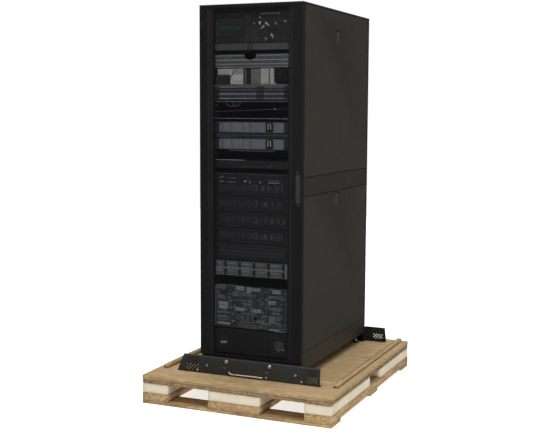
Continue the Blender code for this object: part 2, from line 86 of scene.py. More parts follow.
class Nodes:
    """A small wrapper that adds shader nodes and links them."""

    def __init__(self, name):
        self.material = bpy.data.materials.new(name)
        self.material.use_nodes = True
        self.tree = self.material.node_tree
        self.shader = self.tree.nodes.get("Principled BSDF")
        self.place = self.add("ShaderNodeTexCoord").outputs["Object"]

    def add(self, kind, **values):
        node = self.tree.nodes.new(kind)
        for key, value in values.items():
            if hasattr(node, key):
                setattr(node, key, value)
            else:
                node.inputs[key.replace("_", " ")].default_value = value
        return node

    def link(self, start, end):
        self.tree.links.new(start, end)
        return start

    def put(self, socket, value):
        if isinstance(value, bpy.types.NodeSocket):
            self.link(value, self.shader.inputs[socket])
        else:
            self.shader.inputs[socket].default_value = value

    def mapped(self, scale, shift=(0, 0, 0)):
        node = self.add("ShaderNodeMapping")
        node.inputs["Scale"].default_value = scale
        node.inputs["Location"].default_value = shift
        self.link(self.place, node.inputs["Vector"])
        return node.outputs[0]

    def noise(self, scale, detail=3.0, vector=None, distortion=0.0):
        node = self.add("ShaderNodeTexNoise", Scale=scale, Detail=detail, Distortion=distortion)
        self.link(vector or self.place, node.inputs["Vector"])
        return node.outputs["Fac"]

    def ramp(self, value, stops):
        node = self.add("ShaderNodeValToRGB")
        band = node.color_ramp
        while len(band.elements) < len(stops):
            band.elements.new(0.5)
        for element, (where, colour) in zip(band.elements, stops):
            element.position = where
            element.color = (*colour, 1) if len(colour) == 3 else colour
        self.link(value, node.inputs[0])
        return node.outputs[0]

    def mix(self, factor, first, second):
        node = self.add("ShaderNodeMix", data_type="RGBA")
        for socket, value in zip((node.inputs[0], node.inputs[6], node.inputs[7]), (factor, first, second)):
            if isinstance(value, bpy.types.NodeSocket):
                self.link(value, socket)
            elif isinstance(value, tuple):
                socket.default_value = (*value, 1)
            else:
                socket.default_value = value
        return node.outputs[2]

    def maths(self, kind, first, second=0.0):
        node = self.add("ShaderNodeMath", operation=kind)
        for socket, value in zip(node.inputs, (first, second)):
            if isinstance(value, bpy.types.NodeSocket):
                self.link(value, socket)
            else:
                socket.default_value = value
        return node.outputs[0]

    def bump(self, height, strength, distance):
        node = self.add("ShaderNodeBump", Strength=strength, Distance=distance)
        self.link(height, node.inputs["Height"])
        self.link(node.outputs[0], self.shader.inputs["Normal"])


def spread(colour, share):
    """A darker and a lighter version of a colour."""
    return tuple(c * (1 - share) for c in colour), tuple(min(1.0, c * (1 + share)) for c in colour)


def coated(name, colour, rough=0.42, metal=0.1, grain=900.0, bump=0.12, vary=0.12, gloss=0.5, wear=0.0):
    """Painted sheet or moulded plastic: a fine texture, slow changes of tone and lightly rubbed edges."""
    n = Nodes(name)
    dark, light = spread(colour, vary)
    slow = n.noise(3.5, 4.0)
    tone = n.ramp(slow, [(0.3, dark), (0.7, light)])
    if wear:
        edge = n.add("ShaderNodeNewGeometry").outputs["Pointiness"]
        worn = n.ramp(edge, [(0.52, (0, 0, 0)), (0.6, (1, 1, 1))])
        patchy = n.maths("MULTIPLY", worn, n.maths("MULTIPLY", n.noise(60.0, 5.0), wear))
        tone = n.mix(patchy, tone, tuple(min(1.0, c * 2.2 + 0.03) for c in colour))
    n.put("Base Color", tone)
    n.put("Metallic", metal)
    n.put("Roughness", n.maths("ADD", rough - 0.06, n.maths("MULTIPLY", n.noise(22.0, 5.0), 0.12)))
    n.put("Specular IOR Level", gloss)
    n.bump(n.noise(grain, 2.0), bump, 0.0004)
    return n.material


def glow(name, colour, strength):
    n = Nodes(name)
    n.put("Base Color", (*colour, 1))
    n.put("Emission Color", n.mix(n.noise(400.0), colour, spread(colour, 0.3)[0]))
    n.put("Emission Strength", strength)
    return n.material


def wood(name, pale, deep, along, rings=26.0, seed=0.0, knots=0.5, rough=0.68, layered=False, mottle=0.25):
    """Sawn softwood or plywood: long grain along one axis, fibres, knots, stains, and plies on its edges."""
    n = Nodes(name)
    stretch = {"X": (0.1, 1.0, 1.0), "Y": (1.0, 0.1, 1.0), "Z": (1.0, 1.0, 0.1)}[along]
    grain_place = n.mapped(stretch, (seed, seed * 0.7, seed * 1.3))
    swirl = n.noise(3.2, 4.0, grain_place, 0.9)
    bands = n.maths("FRACT", n.maths("MULTIPLY", swirl, rings))
    bands = n.maths("PINGPONG", n.maths("MULTIPLY", bands, 2.0), 1.0)
    fine_place = n.mapped(tuple(s * 420 if s == 1.0 else 6.0 for s in stretch), (seed, 0, 0))
    fibre = n.noise(1.0, 4.0, fine_place)
    tone = n.ramp(bands, [(0.0, pale), (0.55, tuple((a * 2 + b) / 3 for a, b in zip(pale, deep))),
                          (1.0, deep)])
    tone = n.mix(0.3, tone, n.ramp(fibre, [(0.35, spread(deep, 0.25)[0]), (0.62, pale)]))
    patches = n.noise(2.3, 5.0, n.mapped((1, 1, 1), (seed * 2, seed, 0)), 0.4)
    tone = n.mix(n.ramp(patches, [(0.45, (0, 0, 0)), (0.72, (0.55, 0.55, 0.55))]), tone, (0.33, 0.205, 0.1))
    spot = n.add("ShaderNodeTexVoronoi", Scale=3.1, Randomness=1.0)
    squeezed = {"X": (0.55, 1.2, 1.2), "Y": (1.2, 0.55, 1.2), "Z": (1.2, 1.2, 0.55)}[along]
    n.link(n.mapped(squeezed, (seed * 3, seed, seed)), spot.inputs["Vector"])
    knot = n.ramp(spot.outputs["Distance"], [(0.0, (1, 1, 1)), (0.045, (0.6, 0.6, 0.6)), (0.085, (0, 0, 0))])
    tone = n.mix(n.maths("MULTIPLY", knot, knots), tone, (0.13, 0.065, 0.028))
    if layered:
        split = n.add("ShaderNodeSeparateXYZ")
        n.link(n.add("ShaderNodeNewGeometry").outputs["Normal"], split.inputs[0])
        side = n.maths("LESS_THAN", n.maths("ABSOLUTE", split.outputs[2]), 0.6)
        height = n.add("ShaderNodeSeparateXYZ")
        n.link(n.place, height.inputs[0])
        wobble = n.maths("MULTIPLY", n.noise(9.0, 3.0), 0.004)
        ply = n.maths("FRACT", n.maths("MULTIPLY", n.maths("ADD", height.outputs[2], wobble), 190.0))
        plies = n.ramp(ply, [(0.0, (0.085, 0.043, 0.014)), (0.34, (0.14, 0.077, 0.026)),
                             (0.5, (0.29, 0.186, 0.073)), (1.0, (0.35, 0.232, 0.095))])
        rough_edge = n.mix(0.35, plies, n.ramp(n.noise(160.0, 4.0),
                                               [(0.3, (0.11, 0.058, 0.02)), (0.7, (0.34, 0.23, 0.098))]))
        tone = n.mix(side, tone, rough_edge)
    flecks = n.noise(1.0, 5.0, n.mapped(tuple(52.0 * s + 14.0 for s in stretch), (seed, seed, 0)), 0.6)
    pale_fleck = tuple(min(1.0, c * 1.45 + 0.02) for c in pale)
    light_share = n.ramp(flecks, [(0.54, (0, 0, 0)), (0.64, (1, 1, 1))])
    dark_share = n.ramp(flecks, [(0.36, (1, 1, 1)), (0.45, (0, 0, 0))])
    tone = n.mix(n.maths("MULTIPLY", light_share, mottle), tone, pale_fleck)
    tone = n.mix(n.maths("MULTIPLY", dark_share, mottle), tone, spread(deep, 0.35)[0])
    n.put("Base Color", tone)
    n.put("Roughness", n.maths("ADD", rough - 0.05, n.maths("MULTIPLY", fibre, 0.12)))
    n.bump(n.maths("ADD", fibre, n.maths("MULTIPLY", bands, 0.4)), 0.35, 0.0006)
    return n.material


def foam_look():
    """Cut closed-cell foam: cream, with fine cells and the faint lines of the saw."""
    n = Nodes("cream_foam")
    cells = n.add("ShaderNodeTexVoronoi", Scale=430.0)
    n.link(n.place, cells.inputs["Vector"])
    streak = n.noise(1.0, 3.0, n.mapped((7.0, 7.0, 190.0)))
    base = n.ramp(n.noise(6.0, 4.0), [(0.3, (0.56, 0.5, 0.375)), (0.7, (0.67, 0.605, 0.47))])
    base = n.mix(0.22, base, n.ramp(streak, [(0.35, (0.47, 0.415, 0.31)), (0.65, (0.7, 0.635, 0.5))]))
    n.put("Base Color", base)
    n.put("Roughness", 0.85)
    n.put("Subsurface Weight", 0.06)
    n.bump(n.maths("ADD", cells.outputs["Distance"], n.maths("MULTIPLY", streak, 0.8)), 0.4, 0.0008)
    return n.material


LOOKS = {
    "frame": coated("black_powder_coat", (0.0052, 0.0052, 0.0062), metal=0.0, grain=1100.0, bump=0.16,
                    vary=0.14, gloss=0.24, wear=0.3),
    "mesh": coated("black_mesh_coat", (0.005, 0.005, 0.0058), rough=0.45, metal=0.0, grain=1400.0, bump=0.1,
                   vary=0.1, gloss=0.25),
    "panel": coated("warm_black_satin", (0.016, 0.0148, 0.0098), rough=0.46, metal=0.0, grain=1300.0,
                    bump=0.2, vary=0.1, gloss=0.4, wear=0.25),
    "bracket": coated("dark_steel_satin", (0.03, 0.03, 0.026), metal=0.55, grain=700.0, bump=0.14, vary=0.2,
                      wear=0.5),
    "zinc": coated("bright_zinc", (0.66, 0.65, 0.62), rough=0.28, metal=0.95, grain=500.0, bump=0.1,
                   vary=0.15),
    "zinc_worn": coated("worn_zinc", (0.52, 0.46, 0.42), rough=0.4, metal=0.75, grain=350.0, bump=0.2,
                        vary=0.25),
    "handle": coated("black_handle", (0.016, 0.016, 0.018), rough=0.32, metal=0.0, bump=0.1, wear=0.3),
    "rubber": coated("black_rubber", (0.018, 0.018, 0.018), rough=0.75, metal=0.0, grain=500.0, bump=0.35,
                     vary=0.2),
    "rail": coated("black_rail", (0.02, 0.02, 0.023), rough=0.38, metal=0.3, wear=0.3),
    "dark": coated("charcoal_case", (0.02, 0.021, 0.024), rough=0.45, metal=0.0, grain=1000.0, bump=0.14,
                   vary=0.15),
    # Near black: the own colour of unlit lamps and dark parts, and painted shade standing for slots, holes
    # and recesses that are not cut.
    "black_and_recess_shade": coated("near_black_and_painted_recess_shade", (0.0035, 0.0035, 0.004), rough=0.8, metal=0.0, grain=300.0, bump=0.1,
                   vary=0.2),
    "slate": coated("blue_grey_face", (0.12, 0.15, 0.195), metal=0.2),
    "grey": coated("grey_bezel", (0.235, 0.257, 0.287), rough=0.4, vary=0.08),
    "mid": coated("mid_grey_case", (0.15, 0.155, 0.16), rough=0.48, grain=800.0, bump=0.16, vary=0.18),
    "light_shelf": coated("pale_steel", (0.3, 0.3, 0.29), metal=0.5, grain=800.0),
    "light": coated("light_warm_case", (0.62, 0.61, 0.57), rough=0.5, metal=0.0, grain=700.0, bump=0.14,
                    vary=0.06),
    "white": coated("white_plug", (0.75, 0.75, 0.72), rough=0.4, metal=0.0, grain=600.0, bump=0.1, vary=0.06),
    "green": coated("green_board", (0.028, 0.056, 0.044), rough=0.5, metal=0.0, bump=0.3, vary=0.3),
    "olive": coated("olive_card", (0.058, 0.06, 0.036), rough=0.55, metal=0.0, bump=0.25, vary=0.25),
    "lead": coated("pale_grey_lead", (0.42, 0.42, 0.41), rough=0.5, metal=0.0, grain=700.0, vary=0.1),
    "lead_blue": coated("slate_blue_lead", (0.06, 0.085, 0.125), rough=0.5, metal=0.0, grain=700.0,
                        vary=0.15),
    "brush": coated("black_bristle", (0.01, 0.01, 0.01), rough=0.85, metal=0.0, grain=1600.0, bump=0.5,
                    vary=0.3),
    "foam": foam_look(),
    "deck_top": wood("deck_plywood", (0.47, 0.345, 0.175), (0.33, 0.215, 0.095), "X", 15.0, 0.3, 0.45,
                     layered=True, mottle=0.3),
    "deck_under": wood("deck_boards", (0.34, 0.222, 0.096), (0.19, 0.108, 0.04), "Y", 22.0, 1.9, 0.6,
                       layered=True, mottle=0.6),
    "skid_a": wood("runner_pine", (0.48, 0.325, 0.15), (0.255, 0.14, 0.056), "Y", 24.0, 4.2, 0.7,
                   mottle=0.42),
    "skid_b": wood("board_pine", (0.47, 0.32, 0.145), (0.25, 0.142, 0.057), "X", 20.0, 7.7, 0.8, mottle=0.42),
    "batten": wood("batten_pine", (0.46, 0.335, 0.17), (0.31, 0.205, 0.092), "Y", 18.0, 2.6, 0.4),
    # Pale pink-grey: a zinc bar whose paleness is partly painted highlight, the light caught along the lip
    # low on the bracket.
    "pull": coated("pink_grey_bar_painted_highlight", (0.62, 0.5, 0.46), metal=0.2, grain=500.0, vary=0.15),
    "card": coated("card_face", (0.03, 0.031, 0.034), rough=0.45, bump=0.14, vary=0.18),
    "dark_edge": coated("charcoal_trim", (0.055, 0.057, 0.062), vary=0.15),
    "green_pale": coated("pale_solder_mask", (0.1, 0.17, 0.12), rough=0.5, metal=0.0, bump=0.2, vary=0.2),
    "band": coated("grey_cable_bar", (0.118, 0.118, 0.123), rough=0.45, metal=0.2),
    "band_red": coated("dull_red_trim", (0.165, 0.07, 0.066), rough=0.5, metal=0.0, vary=0.15),
    "band_edge": coated("grey_trim", (0.2, 0.2, 0.205), rough=0.45, metal=0.2),
    "panel_jack": coated("jack_housing", (0.195, 0.197, 0.204), vary=0.15),
    "strip": coated("label_strip", (0.49, 0.5, 0.52), rough=0.45, grain=800.0, bump=0.14),
    "strip_dim": coated("dim_label_strip", (0.24, 0.246, 0.26), rough=0.45, grain=800.0, bump=0.14),
    "light_noisy": coated("speckled_pale_case", (0.64, 0.64, 0.615), rough=0.55, metal=0.0, grain=260.0,
                          bump=0.3, vary=0.16),
    # Dark grey: painted shade in the slots, seams and gaps of the cases and blocks.
    "case_shadow": coated("case_painted_shadow", (0.085, 0.086, 0.088), rough=0.6, metal=0.0, grain=700.0, bump=0.14,
                          vary=0.15),
    "box_grey": coated("cool_grey_case", (0.215, 0.222, 0.225), rough=0.5, metal=0.0, grain=800.0, bump=0.14,
                       vary=0.1),
    "light_warm": coated("warm_pale_case", (0.56, 0.55, 0.51), rough=0.5, metal=0.0, grain=700.0, bump=0.14,
                         vary=0.08),
    "void_soft": coated("dark_window", (0.01, 0.01, 0.012), rough=0.28, metal=0.0, bump=0.06, vary=0.15),
    "stripe": coated("cool_light_edge", (0.62, 0.65, 0.7), vary=0.1),
    "stripe_dim": coated("cool_dim_edge", (0.19, 0.2, 0.225)),
    "slate_dark": coated("deep_slate", (0.03, 0.036, 0.046), rough=0.45),
    "slate_dim": coated("dim_slate", (0.1, 0.112, 0.135), rough=0.45),
    "grey_rim": coated("bezel_rim", (0.15, 0.163, 0.182), vary=0.08),
    "grey_light": coated("bezel_light_section", (0.262, 0.282, 0.31), vary=0.08),
    "grey_warm": coated("bezel_warm_section", (0.225, 0.235, 0.245), vary=0.08),
    "badge": coated("pale_badge", (0.62, 0.63, 0.64), rough=0.35, metal=0.2, bump=0.1, vary=0.08),
    "module": coated("module_front", (0.022, 0.022, 0.026), rough=0.45, bump=0.14, vary=0.14),
    "rib": coated("module_rib", (0.108, 0.11, 0.122), vary=0.15),
    "rib_light": coated("module_pale_rib", (0.15, 0.154, 0.166), vary=0.15),
    "battery": coated("battery_cool_grey", (0.142, 0.15, 0.157), rough=0.5, metal=0.0, grain=800.0,
                      bump=0.16, vary=0.14),
    "battery_green": coated("battery_green_grey", (0.118, 0.143, 0.139), rough=0.5, metal=0.0, grain=800.0,
                            bump=0.16, vary=0.14),
    "breaker": coated("breaker_grey", (0.205, 0.215, 0.226), rough=0.5, metal=0.0, grain=800.0, bump=0.16,
                      vary=0.16),
    "breaker_light": coated("breaker_light_grey", (0.4, 0.415, 0.43), rough=0.48, metal=0.0, grain=800.0,
                            bump=0.14),
    "tray": coated("wiring_tray", (0.052, 0.058, 0.062), rough=0.55, grain=800.0, bump=0.18, vary=0.2),
    "dust_filter": coated("dust_filter", (0.2, 0.2, 0.196), rough=0.85, metal=0.0, grain=420.0, bump=0.6,
                          vary=0.2, gloss=0.1),
    "vent": coated("module_vent", (0.048, 0.049, 0.056), rough=0.45, vary=0.15),
    "led_green": glow("green_light", (0.1, 0.6, 0.25), 0.22),
    "led_amber": glow("amber_light", (0.7, 0.35, 0.08), 0.22),
    # Grey, lighter than the panels: partly the latches' own grey, partly painted highlight for the light
    # strips along their recesses.
    "latch": coated("grey_latch_painted_highlight", (0.045, 0.044, 0.038), rough=0.4, bump=0.1),
    "matt_black": coated("matt_black_pod", (0.0012, 0.0012, 0.0014), rough=0.75, metal=0.0, grain=500.0,
                         bump=0.2, vary=0.2, gloss=0.05),
}


# Mesh building


class Kit:
    """Collects simple closed shapes into one piece, each face with its own look."""

    def __init__(self):
        self.points, self.faces, self.looks, self.smooth = [], [], [], []

    def add(self, points, faces, look, smooth=False):
        start = sum(len(p) for p in self.points)
        self.points.append(np.asarray(points, float))
        self.faces += [tuple(i + start for i in f) for f in faces]
        self.looks += [look] * len(faces)
        self.smooth += [smooth] * len(faces)

    def box(self, corner, opposite, look, chamfer=0.0):
        """A box between two opposite corners, its twelve edges cut by the chamfer."""
        low, high = np.sort(np.array((corner, opposite), float), axis=0)
        c = min(chamfer, 0.49 * (high - low).min())
        if c <= 0:
            points = [(x, y, z) for z in (low[2], high[2]) for y in (low[1], high[1])
                      for x in (low[0], high[0])]
            faces = [(0, 2, 3, 1), (4, 5, 7, 6), (0, 1, 5, 4), (2, 6, 7, 3), (0, 4, 6, 2), (1, 3, 7, 5)]
            return self.add(points, faces, look)
        shape = bmesh.new()
        bmesh.ops.create_cube(shape, size=1.0)
        for v in shape.verts:
            v.co = [low[i] if v.co[i] < 0 else high[i] for i in range(3)]
        bmesh.ops.bevel(shape, geom=shape.edges[:], offset=c, segments=1 if c < 0.0008 else 2,
                        affect="EDGES", profile=0.5)
        self.take(shape, look)

    def take(self, shape, look):
        shape.verts.index_update()
        self.add([v.co[:] for v in shape.verts], [tuple(v.index for v in f.verts) for f in shape.faces], look)
        shape.free()

    def loft(self, rings, look, smooth, smooth_ends=False):
        """Joins equal rings of points in turn and closes both ends."""
        sides = len(rings[0])
        faces = []
        for start in range(0, (len(rings) - 1) * sides, sides):
            for j in range(sides):
                k = (j + 1) % sides
                faces.append((start + j, start + k, start + sides + k, start + sides + j))
        faces += [tuple(reversed(range(sides))), tuple(range((len(rings) - 1) * sides, len(rings) * sides))]
        self.add(np.concatenate(rings), faces, look, smooth)
        self.smooth[-2:] = [smooth_ends] * 2

    def turned(self, profile, centre, axis, look, sides=24, smooth=True):
        """A profile of (radius, height) points turned about an axis; "-Y" turns it to face -Y."""
        if axis[0] == "-":
            profile = [(r, -h) for r, h in reversed(profile)]
        w = "XYZ".index(axis[-1])
        turn = np.arange(sides) * 2 * math.pi / sides
        rings = np.empty((len(profile), sides, 3))
        for ring, (r, h) in zip(rings, profile):
            ring[:, (w + 1) % 3] = centre[(w + 1) % 3] + r * np.cos(turn)
            ring[:, (w + 2) % 3] = centre[(w + 2) % 3] + r * np.sin(turn)
            ring[:, w] = centre[w] + h
        self.loft(rings, look, smooth)

    def prism(self, outline, axis, start, end, look):
        """A counter-clockwise outline seen from the axis's positive end, run from start to end."""
        order = {"X": lambda a, b, h: (h, a, b), "Y": lambda a, b, h: (b, h, a), "Z": lambda a, b,
                 h: (a, b, h)}[axis]
        n = len(outline)
        points = [order(a, b, start) for a, b in outline] + [order(a, b, end) for a, b in outline]
        faces = [tuple(reversed(range(n))), tuple(range(n, 2 * n))]
        self.add(points, faces, look)
        self.add(points, [(i, (i + 1) % n, (i + 1) % n + n, i + n) for i in range(n)], look)

    def tube(self, path, radius, look, sides=8):
        """A round bar along a path, closed at both ends."""
        path = np.asarray(path, float)
        ahead = np.gradient(path, axis=0)
        ahead /= np.linalg.norm(ahead, axis=1)[:, None]
        side = np.cross(ahead[0], (0.31, 0.17, 0.93))
        turn = np.arange(sides)[:, None] * 2 * math.pi / sides
        rings = []
        for place, forward in zip(path, ahead):
            side = side - forward * side.dot(forward)
            side /= np.linalg.norm(side)
            rings.append(place + radius * (np.cos(turn) * side + np.sin(turn) * np.cross(forward, side)))
        self.loft(rings, look, True, True)

    def turn(self, angle, x, z):
        """Turns all the points about an axis along Y through (x, z)."""
        for points in self.points:
            dx, dz = points[:, 0] - x, points[:, 2] - z
            points[:, 0] = x + dx * math.cos(angle) - dz * math.sin(angle)
            points[:, 2] = z + dx * math.sin(angle) + dz * math.cos(angle)

    def join(self, other):
        start = sum(len(p) for p in self.points)
        self.points += other.points
        self.faces += [tuple(i + start for i in f) for f in other.faces]
        self.looks += other.looks
        self.smooth += other.smooth

    def plate(self, xs, zs, solid, y, look):
        """A flat sheet between two y values, on a grid of breaks, open where solid(i, k) is false."""
        xs, zs = list(xs), list(zs)
        nx, nz = len(xs) - 1, len(zs) - 1
        mask = [[solid(i, k) for k in range(nz)] for i in range(nx)]
        index, points, faces = {}, [], []

        def corner(i, k, layer):
            key = (i, k, layer)
            if key not in index:
                index[key] = len(points)
                points.append((xs[i], y[layer], zs[k]))
            return index[key]

        for i in range(nx):
            for k in range(nz):
                if not mask[i][k]:
                    continue
                cells = [(i, k), (i + 1, k), (i + 1, k + 1), (i, k + 1)]
                faces.append(tuple(corner(*c, 0) for c in cells))
                faces.append(tuple(corner(*c, 1) for c in reversed(cells)))
                beside = [(i, k - 1), (i + 1, k), (i, k + 1), (i - 1, k)]
                for side, (a, b) in enumerate(beside):
                    if 0 <= a < nx and 0 <= b < nz and mask[a][b]:
                        continue
                    p, q = cells[side], cells[(side + 1) % 4]
                    faces.append((corner(*p, 0), corner(*p, 1), corner(*q, 1), corner(*q, 0)))
        self.add(points, faces, look)

    def make(self, name, body, slot, replaces=(), bevel=0.0):
        mesh = bpy.data.meshes.new(name)
        mesh.from_pydata(np.concatenate(self.points), [], self.faces)
        names = list(dict.fromkeys(self.looks))
        for look in names:
            mesh.materials.append(LOOKS[look])
        mesh.polygons.foreach_set("material_index", [names.index(look) for look in self.looks])
        mesh.polygons.foreach_set("use_smooth", self.smooth)
        mesh.update()
        return settle(mesh, name, body, replaces, bevel)


def settle(mesh, name, body, replaces=(), bevel=0.0):
    """Puts a mesh in the scene as a piece that rides on a body."""
    piece = bpy.data.objects.new(name, mesh)
    bpy.context.scene.collection.objects.link(piece)
    if bevel:
        soften(piece, bevel)
    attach(piece, body)
    if replaces:
        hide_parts(*replaces)
    return piece


def soften(piece, width):
    edge = piece.modifiers.new("edge", "BEVEL")
    edge.width = width
    edge.segments = 2
    edge.limit_method = "ANGLE"
    edge.angle_limit = math.radians(35)


def keep(look, *nodes, bevel=0.0):
    """Gives CAD nodes that stay a finished look and softened edges."""
    for name in nodes:
        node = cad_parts[name]
        node.data.materials.clear()
        node.data.materials.append(LOOKS[look])
        if bevel:
            soften(node, bevel)
            node.modifiers.new("flat", "WEIGHTED_NORMAL").weight = 100


def mitred(name, x, z, profile, z_share, look, body, slot, replaces=()):
    """A frame round a rectangle. profile is a closed loop of (distance in from the left or right edge, y),
    and z_share scales those distances for the bottom and the top."""
    points, faces = [], []
    n = len(profile)
    for sx, sz in ((-1, -1), (1, -1), (1, 1), (-1, 1)):
        for inward, y in profile:
            px = (x[0] + inward) if sx < 0 else (x[1] - inward)
            pz = (z[0] + inward * z_share[0]) if sz < 0 else (z[1] - inward * z_share[1])
            points.append((px, y, pz))
    for c in range(4):
        d = (c + 1) % 4
        for i in range(n):
            j = (i + 1) % n
            faces.append((c * n + i, c * n + j, d * n + j, d * n + i))
    kit = Kit()
    kit.add(points, faces, look)
    return kit.make(name, body, slot, replaces)


def rounded(corner, radius, start, end, steps=4):
    """Points on a quarter arc about a centre, in degrees."""
    return [
        (corner[0] + radius * math.cos(math.radians(start + (end - start) * i / steps)),
         corner[1] + radius * math.sin(math.radians(start + (end - start) * i / steps)))
        for i in range(steps + 1)
    ]


def head(kit, place, direction, radius, look, rise=0.55, recess=True):
    """A pan head that stands on a surface at place and faces along direction, such as "-Y"."""
    r = radius
    kit.turned([(r, 0.0), (r, 0.2 * rise * r), (0.86 * r, 0.72 * rise * r), (0.55 * r, rise * r)], place,
               direction, look, 14)
    if not recess:
        return
    # The cross recess is not cut: two near-black bars standing just proud of the head are painted shade for
    # it.
    i, sign = "XYZ".index(direction[1]), -1 if direction[0] == "-" else 1
    for long_axis in (j for j in range(3) if j != i):
        half = [0.09 * r] * 3
        half[long_axis] = 0.42 * r
        low, high = [p - h for p, h in zip(place, half)], [p + h for p, h in zip(place, half)]
        low[i], high[i] = place[i] + sign * 0.4 * rise * r, place[i] + sign * (rise * r + 0.00006)
        kit.box(low, high, "black_and_recess_shade")


def hex_bolt(kit, place, direction, across, look, washer):
    """A hexagon bolt on a washer."""
    r = across / math.sqrt(3)
    flat = 0.12 * across
    top = flat + 0.55 * across
    kit.turned([(washer * r, 0), (washer * r, 0.8 * flat), (washer * r * 0.95, flat)], place, direction,
               look, 24)
    kit.turned([(r, flat), (r, top - 0.1 * r), (0.86 * r, top)], place, direction, look, 6, smooth=False)


def wander(centre, scale, amount, seed):
    """A small smooth offset that depends only on the place, for sawn and cut surfaces."""
    p = Vector(centre) * scale + Vector((seed, seed * 1.7, seed * 0.3))
    return noise.noise_vector(p) * amount


def plank(name, low, high, look, body, replaces=(), edge=0.003, step=0.06, rough=0.0006, seed=1.0,
          bulge=0.0):
    """A sawn board or cut foam block: gridded, softly rounded edges, slightly uneven faces."""
    margin = Vector((rough + bulge, rough + bulge, rough))
    low, high = Vector(low) + margin, Vector(high) - margin
    shape = bmesh.new()
    cuts = [max(1, round((high[i] - low[i]) / step)) for i in range(3)]
    ranges = [np.linspace(low[i], high[i], cuts[i] + 1) for i in range(3)]
    made = {}

    def vert(*key):
        if key not in made:
            made[key] = shape.verts.new([ranges[i][key[i]] for i in range(3)])
        return made[key]

    for axis in range(3):
        u, v = (axis + 1) % 3, (axis + 2) % 3
        for end in (0, cuts[axis]):
            for a in range(cuts[u]):
                for b in range(cuts[v]):
                    corners = []
                    for da, db in ((0, 0), (1, 0), (1, 1), (0, 1)):
                        key = [0, 0, 0]
                        key[axis], key[u], key[v] = end, a + da, b + db
                        corners.append(vert(*key))
                    shape.faces.new(corners if end else corners[::-1])
    sharp = [e for e in shape.edges if e.calc_face_angle(0) > 1]
    bmesh.ops.bevel(shape, geom=sharp, offset=edge, segments=3, affect="EDGES", profile=0.6)
    middle, half = (low + high) / 2, (high - low) / 2
    for v in shape.verts:
        if bulge:
            up = (v.co.z - middle.z) / half.z
            out = bulge * (1 - up * up)
            for i in (0, 1):
                if abs(abs(v.co[i] - middle[i]) - half[i]) < edge * 0.6:
                    v.co[i] += math.copysign(out, v.co[i] - middle[i])
        v.co += wander(v.co, 9.0, rough, seed)
    for face in shape.faces:
        face.smooth = True
    mesh = bpy.data.meshes.new(name)
    shape.to_mesh(mesh)
    shape.free()
    mesh.materials.append(LOOKS[look])
    board = settle(mesh, name, body, replaces)
    board.modifiers.new("flat faces", "WEIGHTED_NORMAL").keep_sharp = True
    return board


# Leads


ROUTE_STEPS = 4


def smooth_route(points):
    """A Catmull-Rom curve through a route's points."""
    points = [Vector(p) for p in points]
    full = [points[0] * 2 - points[1]] + points + [points[-1] * 2 - points[-2]]
    route = []
    for a, b, c, d in zip(full, full[1:], full[2:], full[3:]):
        for i in range(ROUTE_STEPS):
            t = i / ROUTE_STEPS
            route.append(0.5 * (2 * b + (c - a) * t + (2 * a - 5 * b + 4 * c - d) * t * t
                                + (3 * b - a - 3 * c + d) * t ** 3))
    return route + [points[-1]]


def lead(name, face_y, points, thick, look, with_pieces=()):
    """A short limp lead between two units. Each point is (x, how far in front of the face, z)."""
    route = smooth_route([(x, face_y - forward, z) for x, forward, z in points])
    data = bpy.data.curves.new(name, "CURVE")
    data.dimensions = "3D"
    data.bevel_depth = thick / 2
    data.bevel_resolution = 3
    data.use_fill_caps = True
    spline = data.splines.new("POLY")
    spline.points.add(len(route) - 1)
    for point, place in zip(spline.points, route):
        point.co = (*place, 1)
    spline.use_smooth = True
    data.materials.append(LOOKS[look])
    cord = bpy.data.objects.new(name, data)
    bpy.context.scene.collection.objects.link(cord)
    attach(cord, ROOT)
    length = sum((b - a).length for a, b in zip(route, route[1:]))
    tuple(route[0])


def plug(name, face_y, x, z, look, tilt=0.0, size=(0.0095, 0.0145)):
    """A moulded plug whose boot points down; tilt turns it in the face's plane, in degrees."""
    kit = Kit()
    w, h = size
    y0, y1 = face_y - 0.0135, face_y - 0.003
    kit.box((-w / 2, y0, -h * 0.2), (w / 2, y1, h * 0.8), look, 0.0018)
    kit.box((-w * 0.32, y1 - 0.001, h * 0.05), (w * 0.32, face_y + 0.0005, h * 0.6), look, 0.0008)
    middle = (y0 + y1) / 2
    kit.turned([(0.0017, -h * 0.75), (0.0026, -h * 0.45), (0.0036, -h * 0.18)], (0, middle, 0), "Z", look, 14)
    for i in range(2):
        kit.turned([(0.0024, -0.0004), (0.0033, 0), (0.0024, 0.0004)], (0, middle, -h * (0.36 + 0.14 * i)),
                   "Z", look, 14)
    kit.turn(math.radians(tilt), 0.0, 0.0)
    for points in kit.points:
        points += (x, 0.0, z)
    return kit.make(name, ROOT, "light_case")


